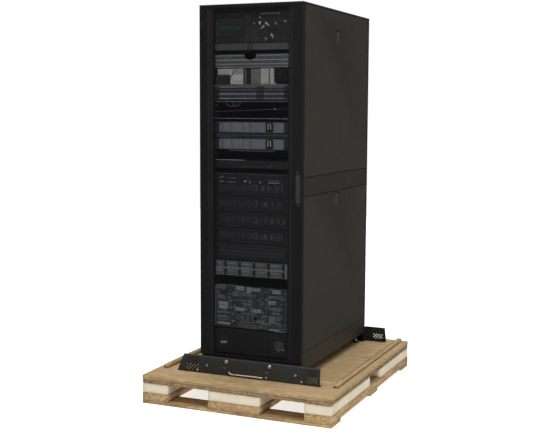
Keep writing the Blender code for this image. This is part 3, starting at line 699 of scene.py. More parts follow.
def patch_leads():
    """White plugs with their leads, the shelf's black lead and the slate leads under the stack."""
    y = lo("switch_block").y
    plugs = {}
    for mark, x, z, look, tilt, size in (("tall", 0.0453, 2.047, "white", 0.0, (0.0095, 0.0115)),
                                         ("slanted", 0.0898, 2.04, "white", 48.0, (0.0085, 0.0205)),
                                         ("bent", 0.0598, 2.025, "strip", -50.0, (0.008, 0.0175)),
                                         ("near", 0.1357, 2.042, "strip", 0.0, (0.0095, 0.008)),
                                         ("far", 0.1892, 2.052, "strip", 0.0, (0.0095, 0.008)),
                                         ("lower", 0.1163, 1.979, "strip", 26.0, (0.01, 0.0175)),
                                         ("grey", 0.0805, 1.964, "strip_dim", 0.0, (0.013, 0.0105)),
                                         ("small", 0.0124, 2.045, "strip_dim", 0.0, (0.01, 0.0085))):
        plugs[mark] = plug(f"plug_{mark}", y, x, z, look, tilt, size)
    shelf = lo("shelf_unit_left").y
    stack = lo("switch_stack").y
    routes = (
        ("tall", y, 0.003, "rubber", ["tall"],
         [(0.0453, 0.0082, 2.0385), (0.0451, 0.0086, 2.031), (0.0438, 0.009, 2.021),
          (0.0408, 0.009, 2.011), (0.0363, 0.008, 2.003), (0.0318, 0.006, 1.998)]),
        ("slanted", y, 0.003, "rubber", ["slanted"],
         [(0.1008, 0.0082, 2.03), (0.1053, 0.0092, 2.0262), (0.1118, 0.0105, 2.0222),
          (0.1198, 0.011, 2.0195), (0.1283, 0.011, 2.0185), (0.1368, 0.0105, 2.016),
          (0.1428, 0.009, 2.0095), (0.1453, 0.006, 2.001)]),
        ("bent", y, 0.003, "lead_blue", ["bent"],
         [(0.0503, 0.0082, 2.017), (0.0458, 0.0092, 2.013), (0.0388, 0.0105, 2.0085),
          (0.0303, 0.011, 2.006), (0.0218, 0.0105, 2.005), (0.0143, 0.009, 2.001), (0.0108, 0.006, 1.994)]),
        ("near", y, 0.0028, "rubber", ["near"],
         [(0.1357, 0.0082, 2.036), (0.1361, 0.009, 2.029), (0.1353, 0.01, 2.018),
          (0.1318, 0.0105, 2.0085), (0.1258, 0.0105, 2.001), (0.1183, 0.0095, 1.9965),
          (0.1115, 0.0085, 1.993)]),
        ("far", y, 0.0028, "dark_edge", ["far"],
         [(0.1892, 0.0082, 2.046), (0.1895, 0.009, 2.037), (0.1908, 0.01, 2.021),
          (0.1913, 0.0105, 2.001), (0.1903, 0.0105, 1.981), (0.1873, 0.0095, 1.962), (0.1848, 0.007, 1.95)]),
        ("lower", y, 0.0028, "rubber", ["lower", "grey"],
         [(0.1221, 0.0082, 1.9672), (0.1238, 0.0092, 1.962), (0.1218, 0.0105, 1.956),
          (0.1153, 0.011, 1.9515), (0.1058, 0.011, 1.95), (0.0963, 0.0105, 1.951),
          (0.0868, 0.0095, 1.9535), (0.0808, 0.0085, 1.956)]),
        ("small", y, 0.0028, "dark_edge", ["small"],
         [(0.0124, 0.0082, 2.0385), (0.0119, 0.009, 2.032), (0.0088, 0.01, 2.024),
          (0.0033, 0.0105, 2.018), (-0.0032, 0.01, 2.014), (-0.0082, 0.0085, 2.0085),
          (-0.0097, 0.006, 2.002)]),
        ("adapter", shelf, 0.0032, "rubber", [],
         [(-0.1312, 0.012, 1.765), (-0.1262, 0.013, 1.767), (-0.1187, 0.014, 1.774),
          (-0.1102, 0.015, 1.785), (-0.1017, 0.0155, 1.796), (-0.0947, 0.015, 1.806),
          (-0.0897, 0.014, 1.815), (-0.0867, 0.011, 1.822)]),
        ("under_left", stack, 0.0044, "slate_dim", [],
         [(-0.1495, 0.004, 1.643), (-0.1475, 0.008, 1.633), (-0.1405, 0.0095, 1.623),
          (-0.1295, 0.01, 1.616), (-0.1175, 0.01, 1.615), (-0.1065, 0.0095, 1.619),
          (-0.0995, 0.0085, 1.629), (-0.0965, 0.005, 1.642)]),
        ("under_right", stack, 0.0044, "slate", [],
         [(-0.1175, 0.004, 1.643), (-0.1145, 0.0085, 1.63), (-0.1055, 0.013, 1.62),
          (-0.0925, 0.014, 1.615), (-0.0785, 0.0135, 1.619), (-0.0695, 0.01, 1.629),
          (-0.0665, 0.005, 1.642)]),
    )
    for mark, face_y, thick, look, ends, points in routes:
        lead(f"lead_{mark}", face_y, points, thick, look, [plugs[end] for end in ends])


def bay_leads():
    """The loose wires between the blocks of the wiring bay."""
    y = lo("distribution_unit").y
    routes = (
        ("a", "tray", [(0.053, 0.007, 0.632), (0.06, 0.009, 0.63), (0.069, 0.011, 0.622),
                       (0.075, 0.012, 0.61),
                       (0.078, 0.012, 0.596), (0.082, 0.011, 0.584), (0.088, 0.009, 0.578)]),
        ("b", "breaker", [(-0.047, 0.008, 0.636), (-0.041, 0.011, 0.633), (-0.037, 0.0125, 0.624),
                          (-0.0365, 0.0125, 0.613), (-0.04, 0.011, 0.605), (-0.048, 0.008, 0.602)]),
        ("c", "lead_blue", [(-0.143, 0.007, 0.54), (-0.137, 0.01, 0.538), (-0.13, 0.012, 0.541),
                            (-0.125, 0.013, 0.55), (-0.122, 0.0125, 0.561), (-0.12, 0.01, 0.57)]),
        ("d", "tray", [(-0.041, 0.008, 0.519), (-0.035, 0.011, 0.517), (-0.029, 0.0125, 0.51),
                       (-0.026, 0.012, 0.503), (-0.025, 0.008, 0.495)]),
        ("e", "breaker", [(0.056, 0.008, 0.516), (0.064, 0.011, 0.514), (0.073, 0.013, 0.506),
                          (0.079, 0.013, 0.494), (0.0805, 0.012, 0.481), (0.078, 0.008, 0.467)]),
        ("f", "lead", [(0.123, 0.007, 0.536), (0.116, 0.01, 0.534), (0.109, 0.0115, 0.538),
                       (0.105, 0.0115, 0.547), (0.106, 0.009, 0.56)]),
        ("g", "tray", [(-0.129, 0.007, 0.435), (-0.122, 0.01, 0.433), (-0.114, 0.012, 0.437),
                       (-0.109, 0.012, 0.447), (-0.107, 0.01, 0.46)]),
        ("h", "breaker", [(-0.096, 0.008, 0.52), (-0.101, 0.011, 0.517), (-0.104, 0.0125, 0.509),
                          (-0.103, 0.0125, 0.498), (-0.098, 0.011, 0.487), (-0.09, 0.01, 0.478),
                          (-0.079, 0.01, 0.472), (-0.068, 0.0095, 0.47), (-0.056, 0.008, 0.474),
                          (-0.05, 0.006, 0.48)]),
    )
    for mark, look, points in routes:
        lead(f"bay_lead_{mark}", y, points, 0.0026, look)


# Floor and light


def stage_floor():
    mesh = bpy.data.meshes.new("floor")
    mesh.from_pydata([(-9, -9, 0), (9, -9, 0), (9, 9, 0), (-9, 9, 0)], [], [(0, 1, 2, 3)])
    n = Nodes("pale_floor")
    n.put("Base Color", n.ramp(n.noise(2.0, 3.0), [(0.3, (0.66, 0.66, 0.66)), (0.7, (0.69, 0.69, 0.69))]))
    n.put("Roughness", 0.9)
    n.put("Emission Color", (1.0, 0.995, 0.985, 1))
    n.put("Emission Strength", 0.7)
    mesh.materials.append(n.material)
    floor = bpy.data.objects.new("floor", mesh)
    bpy.context.scene.collection.objects.link(floor)
    floor.location.z = -0.0006
    floor.visible_glossy = False


def area_light(name, place, target, size, power):
    data = bpy.data.lights.new(name, "AREA")
    data.shape = "RECTANGLE"
    data.size, data.size_y = size
    data.energy = power
    lamp = bpy.data.objects.new(name, data)
    lamp.location = place
    lamp.rotation_euler = (Vector(target) - Vector(place)).to_track_quat("-Z", "Y").to_euler()
    lamp.visible_camera = False
    bpy.context.scene.collection.objects.link(lamp)


def lights():
    world = bpy.data.worlds.new("studio")
    world.use_nodes = True
    tree = world.node_tree
    seen = tree.nodes["Background"]
    seen.inputs[0].default_value = (1.0, 1.0, 1.0, 1)
    soft = tree.nodes.new("ShaderNodeBackground")
    soft.inputs[0].default_value = (1.0, 0.99, 0.96, 1)
    soft.inputs[1].default_value = 0.16
    path, mix = tree.nodes.new("ShaderNodeLightPath"), tree.nodes.new("ShaderNodeMixShader")
    tree.links.new(path.outputs["Is Camera Ray"], mix.inputs[0])
    tree.links.new(soft.outputs[0], mix.inputs[1])
    tree.links.new(seen.outputs[0], mix.inputs[2])
    tree.links.new(mix.outputs[0], tree.nodes["World Output"].inputs[0])
    bpy.context.scene.world = world
    bpy.context.scene.view_settings.view_transform = "Standard"
    overhead = bpy.data.lights.new("overhead", "SUN")
    overhead.energy = 2.9
    overhead.angle = math.radians(70)
    lamp = bpy.data.objects.new("overhead", overhead)
    bpy.context.scene.collection.objects.link(lamp)
    area_light("key_right", (3.0, -2.2, 2.6), (0.3, -0.2, 1.1), (1.6, 2.6), 34)
    area_light("front_fill", (1.5, -5.6, 3.0), (0, -0.4, 1.2), (2.6, 2.2), 84)


# The pallet


def pallet():
    skid_low, skid_high = lo("pallet_skid"), hi("pallet_skid")
    board_top = 0.018
    pads = {}
    for column in ("left", "centre", "right"):
        a = lo(f"foam_pad_{column}_front")
        b = hi(f"foam_pad_{column}_rear")
        pads[column] = (a.x, b.x)
        plank(f"runner_{column}", (a.x, skid_low.y, board_top + 0.0004), (b.x, skid_high.y, skid_high.z),
              "skid_a", ROOT, ("pallet_skid",), seed=3.0 + a.x * 7)
    ends = (skid_low.y, skid_low.y + 0.138), (-0.06, 0.07), (skid_high.y - 0.138, skid_high.y)
    for place, (y0, y1) in zip(("front", "middle", "rear"), ends):
        plank(f"bottom_board_{place}", (skid_low.x, y0, 0.0002), (skid_high.x, y1, board_top), "skid_b",
              ROOT, ("pallet_skid",), edge=0.0025, seed=11.0 + y0)
    nails = Kit()
    for x0, x1 in pads.values():
        for y0, y1 in ends:
            for x in (x0 + 0.03, x1 - 0.03):
                for y in (y0 + 0.035, y1 - 0.035):
                    head(nails, (x, y, skid_high.z - 0.0003), "+Z", 0.0038, "zinc_worn", 0.3, recess=False)
    nails.make("pallet_nails", ROOT, "zinc")
    for column in pads:
        for place in ("front", "rear"):
            node = f"foam_pad_{column}_{place}"
            pad = plank(f"foam_block_{column}_{place}", lo(node), hi(node), "foam", ROOT, (node,),
                        edge=0.0025, step=0.018, rough=0.0009, seed=21.0 + lo(node).x + lo(node).y,
                        bulge=0.0022)
    deck_parts()


def deck_parts():
    low, high = lo("pallet_deck"), hi("pallet_deck")
    deck_top = high.z - 0.02
    sheet_low = deck_top - 0.024
    plank("deck_sheet", (low.x, low.y, sheet_low), (high.x, high.y, deck_top), "deck_top", ROOT,
          ("pallet_deck",), edge=0.0018, step=0.11, rough=0.0005, seed=31.0)
    slats, gap = 9, 0.004
    pitch = (high.y - low.y + gap) / slats
    for i in range(slats):
        y0 = low.y + i * pitch
        plank(f"deck_slat_{i + 1}", (low.x + 0.0015, y0, low.z),
              (high.x - 0.0015, y0 + pitch - gap, sheet_low - 0.0006),
              "deck_under", ROOT, ("pallet_deck",), edge=0.0022, step=0.12, seed=41.0 + i)
    screws = Kit()
    for side, name in ((-1, "left"), (1, "right")):
        x0, x1 = sorted((side * 0.492, side * 0.518))
        plank(f"batten_{name}", (x0, -0.51, deck_top - 0.0004), (x1, 0.66, high.z), "batten", ROOT,
              ("pallet_deck",), edge=0.0025, step=0.05, seed=51.0 + side)
        for i in range(5):
            head(screws, ((x0 + x1) / 2, -0.45 + i * 0.2625, high.z - 0.0002), "+Z", 0.0042, "zinc_worn",
                 0.35)
    for x in (-0.47, -0.1, 0.1, 0.47):
        for y in (low.y + 0.07, high.y - 0.07):
            head(screws, (x, y, deck_top), "+Z", 0.0045, "zinc_worn", 0.35)
    screws.make("deck_screws", ROOT, "zinc")


# Hold-down brackets


HOLE_FIELDS = ((-0.375, -0.295), (0.343, 0.405))


def bracket(end):
    """A bent channel with slanted ends and fields of holes, its bolts, screws and the pull bar."""
    node = f"bracket_{end}"
    low, high = lo(node), hi(node)
    inward = 1 if end == "front" else -1
    foot = low.y if end == "front" else high.y
    back = high.y if end == "front" else low.y
    lean, t, r = 0.018, 0.003, 0.0045
    h = high.z - low.z
    slant = {-1: 0.03, 1: 0.005}

    def end_x(sign, z):
        return sign * (high.x - slant[sign] * z / h)

    def flanges(reach):
        """The top and the base outline, their flanges ending at the y value reach."""
        top = [(foot + inward * lean * (h - r) / h, h - r), (foot + inward * (lean + r * 0.35), h - 0.0012)]
        top += [(foot + inward * (lean + r), h), (reach, h), (reach, h - t),
                (foot + inward * (lean + r), h - t)]
        top += [(foot + inward * (lean + t * 0.9), h - r)]
        base = [(foot + inward * (t + 0.001), t + 0.001), (foot + inward * (t + 0.003), t), (reach, t),
                (reach, 0)]
        base += [(foot + inward * 0.0012, 0), (foot, 0.0015)]
        return top, base

    top, base = flanges(back)
    short_top, short_base = flanges(foot + inward * 0.03)
    steel = Kit()

    def stretch(loop, x0, x1):
        """One closed (y, z) outline run from x0 to x1, where None stands for the slanted end."""
        n = len(loop)
        points = [(end_x(-1, z) if x0 is None else x0, y, low.z + z) for y, z in loop]
        points += [(end_x(1, z) if x1 is None else x1, y, low.z + z) for y, z in loop]
        faces = [tuple(range(n)), tuple(reversed(range(n, 2 * n)))]
        faces += [(i, i + n, (i + 1) % n + n, (i + 1) % n) for i in range(n)]
        clockwise = sum(a[0] * b[1] - b[0] * a[1] for a, b in zip(loop, loop[1:] + loop[:1])) < 0
        steel.add(points, faces if clockwise else [tuple(reversed(f)) for f in faces], "bracket")

    under_cabinet = 0.302
    stretch(base + top, HOLE_FIELDS[0][1], under_cabinet)
    for x0, x1 in ((None, HOLE_FIELDS[0][0]), (under_cabinet, HOLE_FIELDS[1][0]), (HOLE_FIELDS[1][1], None)):
        stretch(short_base + short_top, x0, x1)
    for x0, x1 in HOLE_FIELDS:
        stretch(short_top, x0, x1)
        stretch(short_base, x0, x1)
        holed_web(steel, (x0, x1), low.z, (foot, inward, lean, t, h, r))
    for x in (-0.29, -0.12, 0.12, 0.298):
        rib = [(foot + inward * 0.006, 0.003), (back - inward * 0.004, 0.003),
               (back - inward * 0.004, h - 0.004)]
        rib += [(foot + inward * (lean + 0.006), h - 0.004)]
        outline = [(y, low.z + z) for y, z in rib]
        steel.prism(outline if inward > 0 else outline[::-1], "X", x - 0.0015, x + 0.0015, "bracket")
    steel.make(f"channel_{end}", ROOT, "bracket_steel", (node,), bevel=0.0006)

    def face_y(z):
        return foot + inward * lean * (z - low.z) / h

    out = "-Y" if end == "front" else "+Y"
    fixings = Kit()
    for x in (-0.1285, 0.1285):
        z = low.z + 0.0735
        hex_bolt(fixings, (x, face_y(z) - inward * 0.0002, z), out, 0.014, "zinc", 1.3)
    for x in (-0.3, 0.113, 0.318):
        z = low.z + 0.0135
        head(fixings, (x, face_y(z), z), out, 0.005, "zinc", 0.5)
    for x in (-0.28, -0.225, -0.05, 0.05, 0.225, 0.28):
        head(fixings, (x, back - inward * 0.01, high.z - 0.0001), "+Z", 0.004, "zinc", 0.4)
    fixings.make(f"bracket_bolts_{end}", ROOT, "zinc")
    small = Kit()
    for x in (-0.244, 0.28):
        z = low.z + 0.044
        y = face_y(z)
        ring_profile = [(0.0032, 0), (0.0062, 0), (0.0062, 0.0012), (0.0032, 0.0012)]
        lathe_ring(small, ring_profile, (x, y, z), -inward, "zinc_worn")
        # The ring's hole is a near-black disc: painted shade for the hole.
        small.turned([(0.0032, 0), (0.0032, 0.0004)], (x, y - inward * 0.0001 - 0.0002, z), "Y", "black_and_recess_shade", 14)
    for x in (-0.145, -0.134, 0.11, 0.121):
        head(small, (x, face_y(low.z + 0.04), low.z + 0.04), out, 0.0021, "zinc_worn", 0.5, recess=False)
    small.make(f"bracket_rivets_{end}", ROOT, "zinc")
    pull = Kit()
    z = low.z + 0.0125
    y = face_y(z) - inward * 0.0055
    path = [(-0.103, y, z + 0.012), (-0.1015, y - inward * 0.001, z + 0.006),
            (-0.097, y - inward * 0.001, z + 0.001)]
    path += [(-0.09 + 0.18 * i / 10, y - inward * 0.001, z - 0.0005 * math.sin(i * 0.6)) for i in range(11)]
    path += [(0.094, y, z)]
    # The bar's pale pink-grey is partly painted highlight for the light caught along the lip.
    pull.tube(path, 0.0034, "pull", 10)
    for x in (-0.072, 0.072):
        pull.box((x - 0.005, y - inward * 0.0046, z - 0.0048),
                 (x + 0.005, face_y(z) + inward * 0.0012, z + 0.0046), "zinc", 0.0008)
    pull.make(f"pull_bar_{end}", ROOT, "zinc")


def holed_web(kit, x, base, shape):
    """The leaning web of the channel between two x values, with staggered rows of holes."""
    foot, inward, lean, t, h, r = shape
    rows, hole = (0.014, 0.023, 0.032, 0.041), 0.0055
    pitch = (x[1] - x[0]) / 14
    xs = [x[0] + pitch * i for i in range(15)]
    zs = [0.0015]
    for z in rows:
        zs += [z - hole / 2, z + hole / 2]
    zs.append(h - r)

    def solid(i, k):
        if k % 2 == 0 or i % 2 == 0:
            return True
        return (i // 2 + k // 2) % 2 == 0

    sheet = Kit()
    sheet.plate(xs, zs, solid, (0.0, 1.0), "bracket")
    points = sheet.points[0]
    for p in points:
        p[1] = foot + inward * (lean * p[2] / h + (0.0 if p[1] < 0.5 else t))
        p[2] += base
    faces = sheet.faces if inward > 0 else [tuple(reversed(f)) for f in sheet.faces]
    kit.add(points, faces, "bracket")


def lathe_ring(kit, section, centre, outward, look, sides=18):
    """A flat ring whose (radius, height) section is turned about Y and stands outward from centre."""
    n = len(section)
    points, faces = [], []
    for s in range(sides):
        a = 2 * math.pi * s / sides
        for r, h in section:
            points.append((centre[0] + r * math.sin(a), centre[1] + outward * h, centre[2] + r * math.cos(a)))
    for s in range(sides):
        t = (s + 1) % sides
        for i in range(n):
            j = (i + 1) % n
            quad = (s * n + i, s * n + j, t * n + j, t * n + i)
            faces.append(quad if outward < 0 else quad[::-1])
    kit.add(points, faces, look, True)


# The shell


def shell():
    keep("panel", "frame_base", "side_frame_left", "side_frame_right", bevel=0.0012)
    keep("frame", "frame_top", bevel=0.0012)
    keep("frame", "roof_panel", bevel=0.0018)
    for side in ("left", "right"):
        for level in ("upper", "lower"):
            keep("panel", f"side_panel_{side}_{level}", bevel=0.0011)
            # The latch look is partly painted highlight for the light strips along the latch recesses.
            keep("latch", f"side_latch_{side}_{level}", bevel=0.0007)
    keep("frame", "handle_base", "handle_hub", bevel=0.0012)
    keep("handle", "handle_lever", bevel=0.002)
    keep("handle", "rear_handle", bevel=0.0016)
    keep("dark", "ups_chassis", "module_chassis", "switch_block", "patch_panel", "switch_stack", bevel=0.0006)
    keep("dark", "control_unit_upper", "control_unit_lower", "console_drawer", "battery_shelf", bevel=0.0006)
    keep("dark", "distribution_unit", bevel=0.0006)
    keep("light_shelf", "device_shelf", bevel=0.0004)
    panel_seam_shadow_strips()
    roof_brushes()
    latch_locks()
    base_feet()


def panel_seam_shadow_strips():
    """Near-black strips along the seams over and under each side panel: painted shade standing for the shadow
    in each seam.
    """
    kit = Kit()
    for side, sign in SIDES:
        upper, lower = f"side_panel_{side}_upper", f"side_panel_{side}_lower"
        outer = hi(upper).x if sign > 0 else lo(upper).x
        for z in (hi(lower).z, lo(upper).z, lo(lower).z):
            kit.box((outer - sign * 0.003, lo(upper).y + 0.002, z - 0.0019),
                    (outer + sign * 0.00012, hi(upper).y - 0.002, z + 0.0019), "matt_black", 0.0004)
    kit.make("panel_seam_shadow_strips", ROOT, "frame_black")


def roof_brushes():
    """Two facing rows of bristles in a thin frame close each cable slot in the roof."""
    top = hi("roof_panel").z
    kit, frames = Kit(), Kit()
    draw = random.Random(5)
    for y0, y1 in ((-0.33, -0.25), (0.33, 0.43)):
        mid = (y0 + y1) / 2
        for edge_y, sign in ((y0, 1), (y1, -1)):
            frames.box((-0.2002, edge_y - sign * 0.0005, top - 0.0085),
                       (0.2002, edge_y + sign * 0.008, top - 0.003), "rail", 0.0008)
            for i in range(66):
                x = -0.197 + i * 0.00606
                lean = draw.uniform(-0.0016, 0.0016)
                start = edge_y + sign * 0.006
                tip = mid + sign * 0.0006 + draw.uniform(-0.0012, 0.0012)
                z = top - 0.0058 + draw.uniform(-0.0006, 0.0006)
                kit.tube([(x, start, z), (x + lean / 2, (start + tip) / 2, z), (x + lean, tip, z - 0.0006)],
                         0.0024, "brush", 5)
    kit.make("roof_bristles", ROOT, "frame_black")
    frames.make("roof_brush_frames", ROOT, "frame_black")
    screws = Kit()
    for x in (-0.27, 0.27):
        for y in (-0.44, -0.15, 0.15, 0.54):
            head(screws, (x, y, top - 0.0015), "+Z", 0.0042, "rail", 0.3)
    screws.make("roof_screws", ROOT, "frame_black")


def latch_locks():
    """A key barrel under the finger grip of each side panel latch."""
    for side, sign in SIDES:
        for level in ("upper", "lower"):
            node = f"side_latch_{side}_{level}"
            low, high = lo(node), hi(node)
            kit = Kit()
            x = high.x if sign > 0 else low.x
            y, z = (low.y + high.y) / 2, low.z + 0.0115
            x -= 0.0006 * sign
            outward = "+X" if sign > 0 else "-X"
            kit.turned([(0.0068, 0), (0.0068, 0.001), (0.006, 0.0014)], (x, y, z), outward, "rail", 20)
            # The key slot is a near-black bar on the barrel: painted shade for the slot.
            kit.box((x + sign * 0.0012, y - 0.0008, z - 0.0035),
                    (x + sign * 0.00146, y + 0.0008, z + 0.0035), "black_and_recess_shade")
            kit.make(f"latch_lock_{side}_{level}", node, "zinc")


def base_feet():
    """A levelling foot at each corner of the base, turned down to just above the deck."""
    deck = lo("bracket_front").z
    top = lo("frame_base").z
    for side, x in (("left", -0.262), ("right", 0.262)):
        for end, y in (("front", -0.395), ("rear", 0.522)):
            kit = Kit()
            kit.turned([(0.017, 0.0002), (0.0185, 0.0022), (0.017, 0.0062), (0.0075, 0.0105)], (x, y, deck),
                       "Z", "rubber", 28)
            kit.turned([(0.0052, 0.01), (0.0052, top - deck + 0.004)], (x, y, deck), "Z", "zinc", 16)
            kit.turned([(0.0095, 0.0115), (0.0095, 0.0175)], (x, y, deck), "Z", "zinc", 6, smooth=False)
            for turn in range(9):
                z = deck + 0.02 + turn * 0.0038
                kit.turned([(0.005, 0), (0.0059, 0.001), (0.005, 0.002)], (x, y, z), "Z", "zinc", 16)
            kit.make(f"levelling_foot_{end}_{side}", ROOT, "zinc")


# Doors


def lattice(kit, x, z, y, look, pitch=0.0056, strand=0.00115, slope=60.0):
    """Two families of fine strands cross at a slope to make a sheet of small diamond holes."""
    centre = np.array(((x[0] + x[1]) / 2, (z[0] + z[1]) / 2))
    half = np.array(((x[1] - x[0]) / 2, (z[1] - z[0]) / 2))
    depth = y[1] - y[0]
    layers = ((y[0], y[0] + 0.56 * depth), (y[0] + 0.44 * depth, y[1]))
    for (y0, y1), angle in zip(layers, (slope, -slope)):
        along = np.array((math.cos(math.radians(angle)), math.sin(math.radians(angle))))
        across = np.array((-along[1], along[0]))
        reach = abs(across[0]) * half[0] + abs(across[1]) * half[1]
        count = int(reach / pitch)
        for i in range(-count, count + 1):
            base = centre + across * (i * pitch)
            spans = []
            for k in range(2):
                ends = sorted(((centre[k] - half[k] - base[k]) / along[k],
                               (centre[k] + half[k] - base[k]) / along[k]))
                spans.append(ends)
            t0, t1 = max(s[0] for s in spans), min(s[1] for s in spans)
            if t1 - t0 < 0.002:
                continue
            side = across * strand / 2
            a, b = base + along * t0, base + along * t1
            corners = [a - side, b - side, b + side, a + side]
            points = [(p[0], y0, p[1]) for p in corners] + [(p[0], y1, p[1]) for p in corners]
            faces = [(0, 1, 2, 3), (7, 6, 5, 4), (0, 4, 5, 1), (1, 5, 6, 2), (2, 6, 7, 3), (3, 7, 4, 0)]
            kit.add(points, faces, look)


def front_door():
    low, high = lo("front_door_frame"), hi("front_door_frame")
    opening_low, opening_high = lo("door_mesh"), hi("door_mesh")
    front, back = low.y, high.y
    share = ((opening_low.z - low.z) / 0.0832, (high.z - opening_high.z) / 0.0832)
    arc = [(0.0016 - 0.0016 * math.cos(a), front + 0.0016 - 0.0016 * math.sin(a))
           for a in np.linspace(0.2, math.pi / 2, 4)]
    face = [(0.0, back), (0.0, front + 0.0016)] + arc
    face += [(0.0488, front), (0.0497, front + 0.0006), (0.0506, front + 0.0024), (0.0518, front + 0.0028)]
    face += [(0.0608, front + 0.0028), (0.0616, front + 0.0034), (0.062, front + 0.0052),
             (0.0776, front + 0.0052)]
    face += [(0.078, front + 0.0032), (0.0788, front + 0.0024), (0.0828, front + 0.0024),
             (0.0832, front + 0.003)]
    face += [(0.0832, front + 0.0058)]
    rear = [(0.06, front + 0.0062), (0.05, front + 0.0062), (0.049, front + 0.006), (0.0018, front + 0.003),
            (0.0018, back)]
    mitred("door_frame_folded", (low.x, high.x), (low.z, high.z), face + rear, share, "frame", DOOR,
           "frame_black", ("front_door_frame",))
    inside = Kit()
    y0, y1 = front + 0.0058, back - 0.001
    for side in (-1, 1):
        for x0, x1 in ((0.2405, 0.2425), (0.295, 0.2972)):
            inside.box((side * x0, y0, low.z + 0.016), (side * x1, y1, high.z - 0.014), "frame", 0.0004)
        for i in range(8):
            z = low.z + 0.12 + i * 0.235
            inside.box((side * 0.242, y0, z - 0.006), (side * 0.2955, y0 + 0.006, z + 0.006), "frame", 0.0006)
    inside.box((-0.2955, y0, low.z + 0.004), (0.2955, y1, low.z + 0.006), "frame", 0.0004)
    inside.box((-0.2955, y0, high.z - 0.006), (0.2955, y1, high.z - 0.004), "frame", 0.0004)
    for side in (-1, 1):
        inside.box((side * 0.2985, y0, low.z + 0.003), (side * 0.2962, y1 + 0.0008, high.z - 0.003), "frame",
                   0.0004)
    inside.make("door_stiffeners", DOOR, "frame_black")
    mesh = Kit()
    lattice(mesh, (-0.2185, 0.2185), (opening_low.z - 0.002, opening_high.z + 0.002),
            (front + 0.0034, front + 0.0046), "mesh")
    mesh.make("front_mesh", DOOR, "door_mesh", ("door_mesh",))
    door_hinges()
    door_pod()
    handle_details()


def door_pod():
    """A matt black sensor pod clipped on the outside of the mesh, narrowing to a knob below."""
    front = lo("door_mesh").y
    x, z = -0.0026, 1.879
    steps = 40
    outline = []
    for i in range(steps):
        a = 2 * math.pi * i / steps
        c, s = math.cos(a), math.sin(a)
        half_width = 0.0315 * (1.0 - 0.22 * max(0.0, -s) ** 1.5)
        outline.append((half_width * math.copysign(abs(c) ** 0.8, c),
                        0.0185 * math.copysign(abs(s) ** 0.9, s)))
    levels = ((1.0, 0.0012), (1.0, -0.0022), (0.93, -0.004), (0.76, -0.0056), (0.5, -0.0066))
    points = [(x + px * k, front + y, z + pz * k) for k, y in levels for px, pz in outline]
    faces = [tuple(range(steps)), tuple(reversed(range((len(levels) - 1) * steps, len(levels) * steps)))]
    for level in range(len(levels) - 1):
        for i in range(steps):
            j = (i + 1) % steps
            faces.append((level * steps + i, (level + 1) * steps + i, (level + 1) * steps + j,
                          level * steps + j))
    pod = Kit()
    pod.add(points, [tuple(reversed(f)) for f in faces], "matt_black", True)
    pod.turned([(0.003, -0.006), (0.0052, -0.0046), (0.0058, -0.001), (0.0052, 0.001)],
               (x - 0.001, front, z - 0.018), "Y", "matt_black", 20)
    pod.tube([(x + 0.0008, front - 0.0012, z + 0.0165), (x + 0.0004, front - 0.0016, z + 0.025),
              (x + 0.0016, front - 0.001, z + 0.031)], 0.0016, "rubber", 8)
    pod.make("door_sensor_pod", DOOR, "handle_black")


HINGE_HEIGHTS = (0.42, 1.2, 1.98)


def knuckles(moving, fixed, x, y, z):
    """A hinge's barrel: a knuckle of the door's above and below one of the cabinet's."""
    for start, end, kit in ((0.0, 0.02, moving), (0.0205, 0.0455, fixed), (0.046, 0.066, moving)):
        profile = [(0.0034, start), (0.004, start + 0.0008), (0.004, end - 0.0008), (0.0034, end)]
        kit.turned(profile, (x, y, z - 0.033), "Z", "frame", 20)


def door_hinges():
    """Hinge barrels on the front door's axis, with their leaves and pins."""
    axis_y = hi("front_door_frame").y + 0.0005
    x = -0.299
    for i, z in enumerate(HINGE_HEIGHTS):
        moving, fixed = Kit(), Kit()
        knuckles(moving, fixed, x, axis_y, z)
        moving.turned([(0.0018, 0.066), (0.0024, 0.0672), (0.0018, 0.069)], (x, axis_y, z - 0.033), "Z",
                      "zinc_worn", 14)
        moving.box((x - 0.0002, axis_y - 0.014, z - 0.032), (x + 0.0018, axis_y - 0.002, z + 0.032), "frame",
                   0.0004)
        fixed.box((x + 0.001, axis_y + 0.002, z - 0.012), (x + 0.012, axis_y + 0.0036, z + 0.012), "frame",
                  0.0004)
        moving.make(f"door_hinge_moving_{i + 1}", DOOR, "frame_black")
        fixed.make(f"door_hinge_fixed_{i + 1}", ROOT, "frame_black")


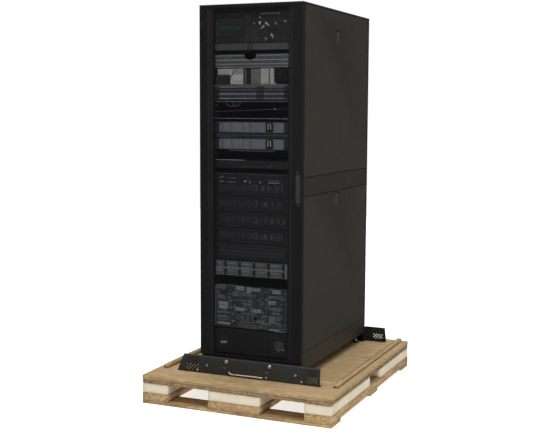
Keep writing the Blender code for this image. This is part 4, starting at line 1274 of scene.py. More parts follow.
def handle_details():
    """The key barrel under the lever, the base's seat and the latch cam behind the door."""
    base_low, base_high = lo("handle_base"), hi("handle_base")
    x = (base_low.x + base_high.x) / 2
    barrel = Kit()
    z = base_low.z + 0.0115
    y = base_low.y
    barrel.turned([(0.007, -0.002), (0.0078, -0.0012), (0.0078, 0.0004)], (x, y, z), "Y", "rail", 24)
    # The key slot is a near-black bar: painted shade for the slot.
    barrel.box((x - 0.0008, y - 0.00206, z - 0.0036), (x + 0.0008, y - 0.0017, z + 0.0036), "black_and_recess_shade")
    barrel.make("handle_key_barrel", DOOR, "zinc")
    rim = Kit()
    for a, b in ((base_low.x + 0.0012, base_low.x + 0.0032), (base_high.x - 0.0032, base_high.x - 0.0012)):
        rim.box((a, y - 0.0016, base_low.z + 0.024), (b, y + 0.0004, base_high.z - 0.05), "handle", 0.0005)
    rim.box((base_low.x + 0.0012, y - 0.0016, base_low.z + 0.0205),
            (base_high.x - 0.0012, y + 0.0004, base_low.z + 0.0222), "handle", 0.0005)
    rim.make("handle_seat_rim", DOOR, "handle_black")
    hub = Kit()
    hub_low, hub_high = lo("handle_hub"), hi("handle_hub")
    centre = ((hub_low.x + hub_high.x) / 2, hub_low.y, hub_high.z - 0.01)
    hub.turned([(0.0048, -0.0009), (0.006, -0.0003), (0.006, 0.0004)], centre, "Y", "rail", 20)
    # The slot in the cap is a near-black bar: painted shade for the slot.
    hub.box((centre[0] - 0.003, centre[1] - 0.00096, centre[2] - 0.0006),
            (centre[0] + 0.003, centre[1] - 0.0007, centre[2] + 0.0006), "black_and_recess_shade")
    hub.make("hub_cap", "handle_hub", "zinc")
    back = hi("front_door_frame").y
    cam = Kit()
    behind = (centre[0] - 0.001, hub_low.y + 0.0195, centre[2])
    cam.turned([(0.0085, 0.0), (0.0085, 0.0035)], behind, "Y", "rail", 20)
    cam.box((centre[0] - 0.006, back - 0.008, centre[2] - 0.03),
            (centre[0] + 0.006, back - 0.005, centre[2] + 0.006), "zinc", 0.0006)
    cam.make("latch_cam", "handle_hub", "zinc")


def rear_doors():
    """Two trays with pressed rims round their perforated sheets, and hinge knuckles."""
    for side, sign in SIDES:
        node = body = f"rear_door_{side}"
        low, high = lo(node), hi(node)
        front, back = low.y, high.y
        rim = 0.03
        face = [(0.0, front), (0.0, back - 0.0016), (0.0006, back - 0.0004), (0.0018, back)]
        face += [(rim - 0.01, back), (rim - 0.009, back - 0.0006), (rim - 0.0082, back - 0.0026),
                 (rim - 0.001, back - 0.003)]
        face += [(rim, back - 0.0036), (rim, back - 0.0064)]
        inner = [(rim - 0.008, back - 0.0064), (rim - 0.009, back - 0.004), (0.0035, back - 0.003),
                 (0.0018, back - 0.005)]
        inner += [(0.0018, front)]
        profile = (face + inner)[::-1]
        mitred(f"rear_frame_{side}", (low.x, high.x), (low.z, high.z), profile, (1.2, 1.0), "frame", body,
               "frame_black", (node,))
        sheet = Kit()
        lattice(sheet, (low.x + rim - 0.003, high.x - rim + 0.003),
                (low.z + 1.2 * rim - 0.003, high.z - rim + 0.003), (back - 0.0062, back - 0.0048), "mesh")
        sheet.make(f"rear_mesh_{side}", body, "door_mesh")
        dust = Kit()
        dust.box((low.x + 0.01, front + 0.001, low.z + 0.012),
                 (high.x - 0.01, front + 0.0028, high.z - 0.012), "dust_filter", 0.0005)
        for i in range(15):
            z = low.z + 0.07 + i * (high.z - low.z - 0.14) / 14
            dust.box((low.x + 0.011, front + 0.0002, z - 0.0018),
                     (high.x - 0.011, front + 0.0012, z + 0.0018), "dark_edge", 0.0004)
        dust.make(f"rear_dust_filter_{side}", body, "frame_black")
        stiff = Kit()
        for z in (low.z + 0.5, (low.z + high.z) / 2, high.z - 0.5):
            stiff.box((low.x + rim - 0.006, front + 0.004, z - 0.01),
                      (high.x - rim + 0.006, back - 0.0066, z + 0.01), "frame", 0.0008)
        stiff.make(f"rear_stiffeners_{side}", body, "frame_black")
        axis_x = 0.299 * sign
        for i, z in enumerate(HINGE_HEIGHTS):
            moving, fixed = Kit(), Kit()
            knuckles(moving, fixed, axis_x, front - 0.0005, z)
            moving.box((axis_x, front + 0.001, z - 0.032), (axis_x - sign * 0.002, front + 0.014, z + 0.032),
                       "frame", 0.0004)
            fixed.box((axis_x - sign * 0.001, front - 0.0045, z - 0.012),
                      (axis_x - sign * 0.012, front - 0.0028, z + 0.012), "frame", 0.0004)
            moving.make(f"rear_hinge_moving_{side}_{i + 1}", body, "frame_black")
            fixed.make(f"rear_hinge_fixed_{side}_{i + 1}", ROOT, "frame_black")
    rose_low, rose_high = lo("rear_handle"), hi("rear_handle")
    key = Kit()
    x = (rose_low.x + rose_high.x) / 2
    z = rose_low.z - 0.02
    y = hi("rear_door_right").y
    key.turned([(0.01, -0.0004), (0.01, 0.002), (0.0088, 0.0032)], (x, y, z), "Y", "zinc_worn", 24)
    # The key slot is a near-black bar: painted shade for the slot.
    key.box((x - 0.0008, y + 0.003, z - 0.0045), (x + 0.0008, y + 0.00326, z + 0.0045), "black_and_recess_shade")
    key.make("rear_key_barrel", "rear_door_right", "zinc")


# Casters


def casters():
    """Zinc forks, rubber wheels, and a capped hub with five rivets on each face of a wheel."""
    for side in ("left", "right"):
        keep("zinc", f"caster_fork_{side}", bevel=0.0008)
        for end in ("front", "rear"):
            wheel = f"caster_wheel_{end}_{side}"
            low, high = lo(wheel), hi(wheel)
            keep("rubber", wheel, bevel=0.0022)
            centre = (low + high) / 2
            kit = Kit()
            for x, outward in ((low.x + 0.0003, "-X"), (high.x - 0.0003, "+X")):
                profile = [(0.017, 0), (0.017, 0.0006), (0.015, 0.0011), (0.0062, 0.0011)]
                kit.turned(profile, (x, centre.y, centre.z), outward, "zinc_worn", 28)
                for i in range(5):
                    a = 2 * math.pi * i / 5
                    place = (x, centre.y + 0.0115 * math.cos(a), centre.z + 0.0115 * math.sin(a))
                    kit.turned([(0.0021, 0.0009), (0.0016, 0.0014)], place, outward, "rail", 12)
            kit.make(f"wheel_hub_{end}_{side}", wheel, "zinc")


# Racking


def rack_rails():
    """Four rails of folded sheet with the square holes of a 42-unit rack."""
    unit, hole = 0.04445, 0.0095
    for end in ("front", "rear"):
        for side, sign in SIDES:
            node = f"rack_rail_{end}_{side}"
            low, high = lo(node), hi(node)
            y = (low.y, low.y + 0.0023) if end == "front" else (high.y - 0.0023, high.y)
            centre_x = sign * 0.2326
            xs = sorted((low.x, centre_x - hole / 2, centre_x + hole / 2, high.x))
            zs = [low.z]
            for u in range(41):
                for third in (0.00635, 0.02225, 0.0381):
                    z = low.z + 0.004 + u * unit + third
                    zs += [z - hole / 2, z + hole / 2]
            zs.append(high.z)
            kit = Kit()
            kit.plate(xs, zs, lambda i, k: not (i == 1 and k % 2 == 1), y, "rail")
            kit.box((sign * 0.2265, low.y, low.z), (sign * 0.2288, high.y, high.z), "rail", 0.0003)
            if end == "front":
                kit.box((sign * 0.2432, low.y, low.z), (sign * 0.2455, low.y + 0.012, high.z), "rail", 0.0003)
            for z in np.arange(low.z + 0.06, high.z, 0.26):
                for dy in (0.018, 0.036):
                    place = (sign * 0.2265, low.y + dy, z)
                    head(kit, place, "-X" if sign > 0 else "+X", 0.0036, "zinc_worn", 0.4)
            kit.make(f"square_hole_rail_{end}_{side}", ROOT, "rail_steel", (node,))


def power_strips():
    """Two upright outlet strips at the back, one on each side, with their outlets towards the rear doors."""
    for side, sign in SIDES:
        x0, x1 = sorted((sign * 0.206, sign * 0.25))
        y0, y1 = 0.408, 0.452
        z0, z1 = 0.42, 1.98
        kit = Kit()
        kit.box((x0, y0, z0), (x1, y1, z1), "rail", 0.0016)
        for end, reach in ((z0, -0.006), (z1, 0.006)):
            kit.box((x0 + 0.001, y0 + 0.001, end), (x1 - 0.001, y1 - 0.001, end + reach), "dark_edge", 0.002)
        x = (x0 + x1) / 2
        for i in range(24):
            z = z0 + 0.07 + i * 0.06
            kit.box((x - 0.014, y1 - 0.0005, z - 0.0115), (x + 0.014, y1 + 0.0022, z + 0.0115), "dark_edge",
                    0.0018)
            kit.box((x - 0.0105, y1 + 0.0018, z - 0.008), (x + 0.0105, y1 + 0.0026, z + 0.008), "black_and_recess_shade",
                    0.0022)
            for dx, dz in ((0, 0.0036), (-0.0045, -0.003), (0.0045, -0.003)):
                kit.box((x + dx - 0.0008, y1 + 0.002, z + dz - 0.002),
                        (x + dx + 0.0008, y1 + 0.0032, z + dz + 0.002), "zinc_worn")
            if i % 8 == 7:
                kit.box((x - 0.012, y1 - 0.0004, z + 0.023), (x + 0.012, y1 + 0.004, z + 0.037), "void_soft",
                        0.001)
        kit.turned([(0.004, -0.0012), (0.005, 0.0), (0.005, 0.003)], (x, y1, z0 + 0.03), "Y", "led_green", 16)
        for z in (z0 + 0.1, z1 - 0.1):
            kit.box((sign * 0.249, y0 + 0.006, z - 0.012), (sign * 0.254, y1 - 0.006, z + 0.012), "rail",
                    0.0008)
        kit.make(f"power_strip_{side}", ROOT, "network_dark")


# Unit faces


class Front(Kit):
    """A kit whose shapes stand on a unit's face, at y, and reach forward by their rise."""

    def __init__(self, y):
        super().__init__()
        self.y = y

    def slab(self, x, z, rise, look, chamfer=0.0006):
        self.box((x[0], self.y - rise, z[0]), (x[1], self.y + 0.0005, z[1]), look, chamfer)

    def screw(self, x, z, radius=0.0042, look="zinc_worn", rise=0.0):
        head(self, (x, self.y - rise, z), "-Y", radius, look, 0.5)

    def ports(self, x, z, count, rise, look, gap=0.3, thick=None, rows=1):
        """A strip with a grid of rectangular holes, over a dark recess."""
        xs, zs = [x[0]], [z[0]]
        pitch = (x[1] - x[0]) / count
        for i in range(count):
            a = x[0] + (i + gap / 2) * pitch
            xs += [a, a + (1 - gap) * pitch]
        xs.append(x[1])
        step = (z[1] - z[0]) / rows
        for i in range(rows):
            a = z[0] + (i + 0.5 * gap) * step
            zs += [a, a + (1 - gap) * step]
        zs.append(z[1])
        front = self.y - rise
        back = self.y + 0.0004 if thick is None else front + thick
        self.plate(xs, zs, lambda i, k: not (i % 2 == 1 and k % 2 == 1), (front, back), look)

    def loop(self, x, z, half_width, half_height, wire, stand, look, power=2.6):
        """A rounded pull loop of bar that stands on two stubs."""
        path = []
        for a in np.linspace(0, 2 * math.pi, 23):
            c, s = math.cos(a), math.sin(a)
            px = x + half_width * math.copysign(abs(c) ** (2 / power), c)
            pz = z + half_height * math.copysign(abs(s) ** (2 / power), s)
            path.append((px, self.y - stand, pz))
        self.tube(path, wire, look, 7)
        for sign in (-1, 1):
            self.tube([(x, self.y + 0.0006, z + sign * half_height),
                       (x, self.y - stand, z + sign * half_height)], wire, look, 7)

    def handle(self, x, z, wire, stand, look):
        """A bent bar pull between two points one above the other or side by side, with rounded corners."""
        a, b = Vector((x[0], self.y, z[0])), Vector((x[1], self.y, z[1]))
        run = (b - a).normalized()
        r = min(stand * 0.7, (b - a).length * 0.3)
        path = [a + Vector((0, 0.0006, 0)), a + Vector((0, -(stand - r), 0))]
        for i in range(1, 5):
            t = math.pi / 2 * i / 5
            path.append(a + Vector((0, -(stand - r) - r * math.sin(t), 0)) + run * (r - r * math.cos(t)))
        path += [a + Vector((0, -stand, 0)) + run * r, b + Vector((0, -stand, 0)) - run * r]
        for i in range(4, 0, -1):
            t = math.pi / 2 * i / 5
            path.append(b + Vector((0, -(stand - r) - r * math.sin(t), 0)) - run * (r - r * math.cos(t)))
        path += [b + Vector((0, -(stand - r), 0)), b + Vector((0, 0.0006, 0))]
        self.tube([tuple(p) for p in path], wire, look, 8)

    def lamp(self, x, z, look, rise=0.0, radius=0.0016):
        y = self.y - rise
        self.turned([(radius * 0.6, -0.0011), (radius, -0.0006), (radius, 0.0003)], (x, y, z), "Y", look, 12)


def ears(kit, low, high):
    """Four face screws, in the rail's holes."""
    for x in (-0.2326, 0.2326):
        for z in (low.z + 0.0085, high.z - 0.0085):
            kit.screw(x, z, 0.0046)


def switch_block():
    """A modular switch: fan tray on top, line cards with ports, an open card slot, and a cable bar below."""
    low, high = lo("switch_block"), hi("switch_block")
    face = Front(low.y)
    ears(face, low, high)
    face.ports((-0.2185, 0.2185), (high.z - 0.03, high.z - 0.004), 36, 0.0035, "dark", 0.26, rows=3)
    face.slab((0.05, 0.16), (2.093, 2.098), 0.0095, "band_edge", 0.0012)
    for x in (0.055, 0.155):
        face.slab((x - 0.004, x + 0.004), (2.09, 2.1005), 0.006, "mid", 0.0008)
    face.turned([(0.003, -0.0105), (0.0042, -0.0095), (0.0042, -0.002)], (0.0452, low.y, 2.0775), "Y",
                "strip", 16)
    draw = random.Random(11)
    rows = 4
    bottom, top = 1.95, 2.076
    pitch = (top - bottom) / rows
    for row in range(rows):
        z0 = bottom + row * pitch + 0.0012
        z1 = bottom + (row + 1) * pitch - 0.0012
        board = row == 2
        x0 = -0.086 if board else -0.214
        face.slab((x0, 0.214), (z0, z1), 0.003, "card", 0.0007)
        face.slab((x0, 0.214), (z1 - 0.0026, z1 - 0.001), 0.0038, "dark_edge", 0.0003)
        for x in (x0 + 0.006, 0.208):
            face.slab((x - 0.0045, x + 0.0045), (z0 + 0.003, z1 - 0.005), 0.0075, "dark_edge", 0.001)
            face.screw(x, (z0 + z1) / 2 - 0.006, 0.0026, rise=0.0075)
        groups = 2 if board else 4
        width = (0.196 - x0 - 0.02) / groups
        for g in range(groups):
            if draw.random() < 0.12:
                continue
            a = x0 + 0.018 + g * width
            face.ports((a, a + width - 0.014), (z0 + 0.0045, z1 - 0.0048), 6, 0.0058, "dark_edge", 0.3,
                       rows=2)
            for i in range(6):
                look = "led_green" if draw.random() < 0.15 else "black_and_recess_shade"
                face.lamp(a + (i + 0.5) * (width - 0.014) / 6, z1 - 0.0037, look, 0.003, 0.0008)
    face.make("switch_block_face", ROOT, "network_dark")

    board = Kit()
    y = low.y
    z0, z1 = bottom + 2 * pitch + 0.001, bottom + 3 * pitch - 0.001
    board.box((-0.218, y - 0.0016, z0), (-0.088, y + 0.0005, z1), "green", 0.0002)
    for i in range(16):
        for k in range(4):
            x = -0.214 + i * 0.0078 + draw.uniform(-0.001, 0.001)
            z = z0 + 0.0035 + k * 0.007 + draw.uniform(-0.0008, 0.0008)
            w, h = draw.choice(((0.0028, 0.0014), (0.0018, 0.0024), (0.005, 0.0034), (0.0012, 0.003)))
            look = draw.choice(("black_and_recess_shade", "dark_edge", "green_pale", "mid", "olive"))
            board.box((x, y - 0.0016 - draw.uniform(0.001, 0.003), z), (x + w, y - 0.0012, z + h), look,
                      0.0002)
    board.make("open_slot_board", ROOT, "network_dark")

    gate = Front(low.y - 0.0058)
    for x0, x1 in ((-0.034, -0.012), (-0.007, 0.015), (0.02, 0.038)):
        for z in (1.955, 1.979, 2.003):
            gate.slab((x0, x1), (z, z + 0.018), 0.0035, "olive", 0.0008)
            gate.ports((x0 + 0.002, x1 - 0.002), (z + 0.003, z + 0.015), 4, 0.0046, "olive", 0.4,
                       thick=0.0009)
    for x in (-0.0325, -0.01):
        gate.loop(x, 2.08, 0.0045, 0.009, 0.0012, 0.0045, "mid")
    gate.make("olive_connectors", ROOT, "network_dark")

    bar = Front(low.y)
    z = (low.z - 0.006, low.z + 0.029)
    bar.slab((-0.2185, 0.2185), z, 0.0045, "band", 0.0014)
    for line, look in (((z[1] - 0.005, z[1] - 0.0035), "band_red"),
                       ((z[0] + 0.0035, z[0] + 0.005), "band_edge")):
        bar.slab((-0.21, 0.21), line, 0.005, look, 0.0003)
    for x in (-0.196, -0.128, -0.07, 0.05, 0.118, 0.19):
        bar.slab((x - 0.0012, x + 0.0012), (z[0] + 0.003, z[1] - 0.003), 0.0056, "band_edge", 0.0004)
    bar.make("cable_bar", ROOT, "network_dark")
    ring = Kit()
    centre = (-0.0105, low.y - 0.0135, 1.9265)
    path = []
    for i in range(19):
        a = math.radians(-60 + 300 * i / 18)
        path.append((centre[0] + 0.0125 * math.cos(a), centre[1], centre[2] + 0.0135 * math.sin(a)))
    ring.tube(path, 0.0021, "rubber", 8)
    ring.tube([(centre[0] - 0.012, centre[1], centre[2]), (centre[0] - 0.012, centre[1] + 0.006, centre[2]),
               (centre[0] - 0.012, low.y - 0.003, centre[2])], 0.0024, "rubber", 8)
    ring.tube([(centre[0] + 0.0062, centre[1], centre[2] - 0.0117),
               (centre[0] + 0.001, centre[1], centre[2] - 0.02),
               (centre[0] + 0.001, centre[1], centre[2] - 0.03)], 0.002, "rubber", 8)
    ring.make("cable_ring", ROOT, "network_dark")


def patch_panel():
    """Three rows of jacks in groups, with label strips between the rows."""
    low, high = lo("patch_panel"), hi("patch_panel")
    face = Front(low.y)
    ears(face, low, high)
    face.slab((-0.219, 0.219), (low.z + 0.001, high.z - 0.001), 0.0016, "dark", 0.0005)
    groups = ((-0.215, -0.132), (-0.1245, -0.0335), (-0.026, 0.0655), (0.073, 0.168), (0.1755, 0.215))
    for row, z in enumerate((1.872, 1.8457, 1.828)):
        half = (0.0068, 0.0058, 0.0052)[row]
        for x0, x1 in groups:
            count = max(3, round((x1 - x0) / 0.0132))
            face.ports((x0, x1), (z - half, z + half), count, 0.0062, "panel_jack", 0.42)
    for z, half, look in ((1.858, 0.0032, "strip"), (1.8366, 0.002, "strip"), (1.8204, 0.0014, "strip"),
                          (1.882, 0.002, "strip")):
        for x0, x1 in groups:
            face.slab((x0, x1), (z - half, z + half), 0.007, look, 0.0005)
    for x in (-0.1283, -0.0298, 0.069, 0.1714):
        face.slab((x - 0.0028, x + 0.0028), (low.z + 0.003, high.z - 0.003), 0.005, "strip_dim", 0.0006)
    draw = random.Random(3)
    for x0, x1 in groups:
        for i in range(int((x1 - x0) / 0.0146)):
            x = x0 + (i + 0.5) * 0.0146
            face.slab((x - 0.0045, x + 0.0045), (1.8562, 1.8594), 0.0075 + draw.uniform(0, 0.0005), "stripe",
                      0.0003)
    face.make("patch_panel_face", ROOT, "network_dark")


def shelf_devices():
    """What stands on the shelf: two light cases, a media box, thin routers on edge and a small dark box."""
    shelf_top = hi("device_shelf").z
    lip = Front(lo("device_shelf").y)
    lip.slab((-0.219, 0.219), (shelf_top - 0.0105, shelf_top - 0.003), 0.001, "light_shelf", 0.0005)
    ears(lip, lo("device_shelf"), hi("device_shelf") + Vector((0, 0, 0.006)))
    lip.make("shelf_lip", ROOT, "shelf_steel")

    low, high = lo("shelf_unit_left"), hi("shelf_unit_left")
    case = Kit()
    case.box((low.x, low.y + 0.004, low.z), (-0.0542, high.y, high.z), "light_noisy", 0.003)
    case.box((low.x + 0.0015, low.y, low.z + 0.0015), (-0.0557, low.y + 0.006, high.z - 0.0015),
             "light_noisy", 0.0022)
    for i in range(16):
        x = -0.121 + i * 0.004
        case.box((x, low.y - 0.0004, high.z - 0.03), (x + 0.0016, low.y + 0.001, high.z - 0.008),
                 "case_shadow", 0.0)
    for i in range(10):
        case.box((-0.1182 + i * 0.006, low.y - 0.0005, low.z + 0.012),
                 (-0.1147 + i * 0.006, low.y + 0.001, low.z + 0.015), "case_shadow", 0.0)
    case.make("light_case_left", ROOT, "light_case", ("shelf_unit_left",))
    small = Kit()
    front = low.y - 0.02
    small.box((-0.2097, front, low.z - 0.0002), (-0.1302, low.y - 0.001, low.z + 0.0495), "rubber", 0.0035)
    for z0, z1 in ((0.008, 0.0105), (0.04, 0.043)):
        small.box((-0.2032, front - 0.0006, low.z + z0), (-0.1372, front + 0.001, low.z + z1), "dark_edge",
                  0.0003)
    small.turned([(0.001, -0.0008), (0.0016, 0.0002)], (-0.1422, front, low.z + 0.034), "Y", "led_green", 10)
    small.turned([(0.0045, -0.0012), (0.0055, 0.0004)], (-0.2002, front, low.z + 0.029), "Y", "dark_edge", 14)
    small.make("dark_adapter_box", ROOT, "network_dark")
    edge = Kit()
    for x0, x1, stand, back, top, look, chamfer in ((-0.0532, -0.0477, 0.004, 0.06, 0.001, "black_and_recess_shade", 0.001),
                                                    (-0.0467, -0.0372, 0.002, 0.05, 0.001, "mid", 0.001),
                                                    (-0.0352, -0.0142, 0.008, 0.04, 0.002, "rubber", 0.0022)):
        edge.box((x0, low.y - stand, low.z), (x1, high.y - back, high.z - top), look, chamfer)
    # The nine near-black bars are painted shade for the router's vent slots.
    for i in range(9):
        z = low.z + 0.01 + i * 0.0078
        edge.box((-0.0327, low.y - 0.0086, z), (-0.0167, low.y - 0.007, z + 0.003), "black_and_recess_shade", 0.0003)
    edge.make("upright_router_left", ROOT, "network_dark")

    low, high = lo("shelf_unit_right"), hi("shelf_unit_right")
    grey = Kit()
    grey.box((-0.0122, low.y, low.z), (0.0448, high.y, high.z - 0.002), "box_grey", 0.0026)
    grey.box((-0.0082, low.y - 0.001, low.z + 0.006), (0.0408, low.y + 0.001, high.z - 0.01), "box_grey",
             0.0012)
    for i in range(7):
        grey.box((-0.0022 + i * 0.005, low.y - 0.0013, low.z + 0.01),
                 (-0.0007 + i * 0.005, low.y, low.z + 0.023), "case_shadow", 0.0)
    grey.make("grey_box", ROOT, "light_case", ("shelf_unit_right",))
    column = Kit()
    column.box((0.0463, low.y - 0.003, low.z), (0.0918, high.y - 0.01, high.z), "light_warm", 0.0026)
    for i in range(6):
        z = low.z + 0.009 + i * 0.0128
        column.box((0.0598, low.y - 0.004, z), (0.0698, low.y - 0.002, z + 0.0064), "light", 0.0006)
        column.box((0.0758, low.y - 0.0036, z + 0.001), (0.0798, low.y - 0.002, z + 0.0054), "case_shadow",
                   0.0003)
    # A near-black block in the gap between the case and the stand: painted shade in the gap.
    column.box((0.0928, low.y - 0.001, low.z), (0.0978, high.y - 0.06, high.z - 0.002), "black_and_recess_shade", 0.0008)
    column.make("column_case", ROOT, "light_case")
    stand = Kit()
    foot = [(low.z, 0.0988), (low.z, 0.1328), (low.z + 0.006, 0.1288), (low.z + 0.011, 0.1233)]
    foot += [(high.z - 0.001, 0.1223), (high.z - 0.001, 0.0993)]
    stand.prism(foot[::-1], "Y", low.y - 0.004, high.y - 0.08, "light_warm")
    stand.make("upright_stand", ROOT, "light_case", bevel=0.001)
    dark = Kit()
    dark.box((0.124, low.y - 0.002, low.z + 0.012), (0.1958, high.y, high.z - 0.001), "dark", 0.003)
    dark.box((0.1273, low.y - 0.0032, low.z + 0.016), (0.1928, low.y - 0.001, high.z - 0.006), "void_soft",
             0.0012)
    for i in range(5):
        dark.box((0.1478 + i * 0.005, low.y - 0.004, low.z + 0.05),
                 (0.1506 + i * 0.005, low.y - 0.003, low.z + 0.053), "band_edge", 0.0003)
    dark.make("dark_box_right", ROOT, "network_dark")


def switch_stack():
    """Switches in a stack: five light edges, with rows of ports and small lamps between them."""
    low, high = lo("switch_stack"), hi("switch_stack")
    face = Front(low.y)
    ears(face, low, high)
    lines = ((low.z + 0.0003, "stripe_dim"), (1.6545, "stripe"), (1.679, "stripe"), (1.704, "stripe_dim"),
             (high.z - 0.0029, "stripe"))
    for z, look in lines:
        for x0, x1 in ((-0.192, 0.024), (0.072, 0.184)):
            face.slab((x0, x1), (z, z + 0.0026), 0.0082, look, 0.0006)
        face.slab((-0.218, 0.218), (z + 0.0003, z + 0.0023), 0.007, "stripe_dim", 0.0005)
    for (below, _), (above, _) in zip(lines, lines[1:]):
        a, b = below + 0.0034, above - 0.0008
        if b - a < 0.012:
            continue
        face.ports((-0.192, 0.022), (a, b), 15, 0.0064, "slate", 0.3)
        face.ports((0.074, 0.182), (a, b), 7, 0.0064, "slate", 0.3)
        face.slab((0.025, 0.071), (a, b), 0.006, "slate_dim", 0.001)
        for i in range(4):
            x = 0.0275 + i * 0.0108
            # A near-black slab round each cage is painted shade for its recess.
            face.slab((x, x + 0.0085), (a + 0.0015, b - 0.0015), 0.0078, "black_and_recess_shade", 0.001)
            face.slab((x + 0.0015, x + 0.0065), (a + 0.003, b - 0.004), 0.0098, "slate_dark", 0.0006)
        for i in range(14):
            face.lamp(-0.1825 + i * 0.015, b - 0.0012, "led_green" if i in (3, 8, 9) else "black_and_recess_shade", 0.0064,
                      0.0008)
    face.make("switch_stack_face", ROOT, "network_dark")


def lacing_bar():
    """A dull red bar across the free space below the switches, for tying leads to."""
    bar = Kit()
    y, z = lo("switch_stack").y, 1.5955
    path = [(-0.238, y - 0.0005, z), (-0.233, y - 0.004, z), (-0.224, y - 0.0072, z)]
    path += [(-0.21 + 0.42 * i / 12, y - 0.0078, z + 0.0004 * math.sin(i)) for i in range(13)]
    path += [(0.224, y - 0.0072, z), (0.233, y - 0.004, z), (0.238, y - 0.0005, z)]
    path = [(px, py, pz + 0.045 * px) for px, py, pz in path]
    bar.tube(path, 0.0016, "band_red", 8)
    for x in (-0.238, 0.238):
        end = z + 0.045 * x
        bar.box((x - 0.004, y - 0.0012, end - 0.006), (x + 0.0035, y + 0.004, end + 0.006), "rail", 0.0006)
    bar.box((0.129, y - 0.0105, z + 0.0025), (0.137, y - 0.0052, z + 0.0095), "lead", 0.001)
    bar.make("lacing_bar", ROOT, "rail_steel")
    shelf = Kit()
    z = 1.549
    shelf.box((-0.24, y, z - 0.0004), (0.24, y + 0.0012, z + 0.0042), "light_shelf", 0.0003)
    shelf.box((-0.218, y + 0.0008, z + 0.002), (0.218, y + 0.24, z + 0.0032), "light_shelf", 0.0003)
    shelf.make("thin_shelf", ROOT, "shelf_steel")


def control_units():
    """Two grey bezels with raised sections, a dark badge and rounded ends."""
    for name in ("control_unit_upper", "control_unit_lower"):
        low, high = lo(name), hi(name)
        z0, z1 = low.z + 0.0012, high.z - 0.0012
        bezel = Front(low.y)
        ears(bezel, low, high)
        r = 0.0115
        left, right = -0.193, 0.1875
        outline = rounded((z1 - r, right - r), r, 0, 90) + rounded((z0 + r, right - r), r, 90, 180)
        outline += rounded((z0 + r, left + r), r, 180, 270) + rounded((z1 - r, left + r), r, 270, 360)
        y = low.y
        bezel.box((-0.219, y - 0.003, low.z + 0.0004), (0.219, y + 0.0005, high.z - 0.0004), "slate_dark",
                  0.0012)
        bezel.prism(outline, "Y", y - 0.009, y + 0.0005, "grey_rim")
        sections = ((-0.188, -0.1745, "grey"), (-0.1685, -0.1175, "grey"), (-0.113, -0.051, "grey"),
                    (-0.046, -0.0125, "grey_light"), (-0.0055, 0.079, "grey"), (0.1275, 0.1815, "grey_warm"))
        for x0, x1, look in sections:
            bezel.box((x0, y - 0.0118, z0 + 0.003), (x1, y - 0.0086, z1 - 0.003), look, 0.0012)
        for x0, x1 in ((-0.167, -0.119), (-0.1115, -0.0525)):
            for i in range(2):
                z = z0 + 0.0075 + i * (z1 - z0 - 0.006) / 2
                bezel.box((x0 + 0.003, y - 0.0128, z), (x1 - 0.003, y - 0.0114, z + (z1 - z0) / 2 - 0.0095),
                          ("grey", "grey_light")[i], 0.0009)
        curve = [(-0.1735 + 0.0038 * math.sin(math.pi * i / 8), y - 0.0124,
                  z0 + 0.004 + i * (z1 - z0 - 0.008) / 8) for i in range(9)]
        bezel.tube(curve, 0.0013, "grey_rim", 6)
        slant = [(-0.01 + 0.005 * (i / 6) ** 2, y - 0.012, z0 + 0.004 + i * (z1 - z0 - 0.008) / 6)
                 for i in range(7)]
        bezel.tube(slant, 0.0015, "grey_rim", 6)
        bezel.box((0.083, y - 0.0128, z0 + 0.0026), (0.1235, y - 0.0086, z1 - 0.0026), "void_soft", 0.002)
        for x in (0.093, 0.1085):
            bezel.box((x, y - 0.0142, z0 + 0.016), (x + 0.0052, y - 0.0124, z1 - 0.0105), "badge", 0.0008)
        bezel.box((0.093, y - 0.0142, z1 - 0.0135), (0.1137, y - 0.0124, z1 - 0.0105), "badge", 0.0008)
        for i in range(3):
            bezel.box((-0.043 + i * 0.0095, y - 0.0124, z0 + 0.02),
                      (-0.037 + i * 0.0095, y - 0.0114, z0 + 0.026), "grey_rim", 0.0006)
        bezel.turned([(0.002, -0.013), (0.0026, -0.0122), (0.0026, -0.011)], (-0.0295, y, z1 - 0.015), "Y",
                     "badge", 14)
        bezel.make(f"{name}_bezel", ROOT, "grey_bezel")
    y = lo("control_unit_upper").y
    strip = Kit()
    gap = (hi("control_unit_lower").z, lo("control_unit_upper").z)
    strip.box((-0.218, y - 0.002, gap[0] + 0.003), (0.218, y + 0.12, gap[1] - 0.003), "slate_dark", 0.0008)
    strip.box((-0.212, y - 0.0032, gap[0] + 0.017), (0.212, y - 0.0016, gap[0] + 0.0205), "slate_dim", 0.0006)
    for i in range(9):
        strip.box((-0.205 + i * 0.0132, y - 0.004, gap[0] + 0.005),
                  (-0.1985 + i * 0.0132, y - 0.0016, gap[0] + 0.013), "slate", 0.0008)
    strip.box((-0.138, y - 0.006, lo("control_unit_lower").z - 0.0085),
              (0.132, y + 0.0095, lo("control_unit_lower").z - 0.005), "stripe_dim", 0.0006)
    strip.make("blanking_strip", ROOT, "network_dark")


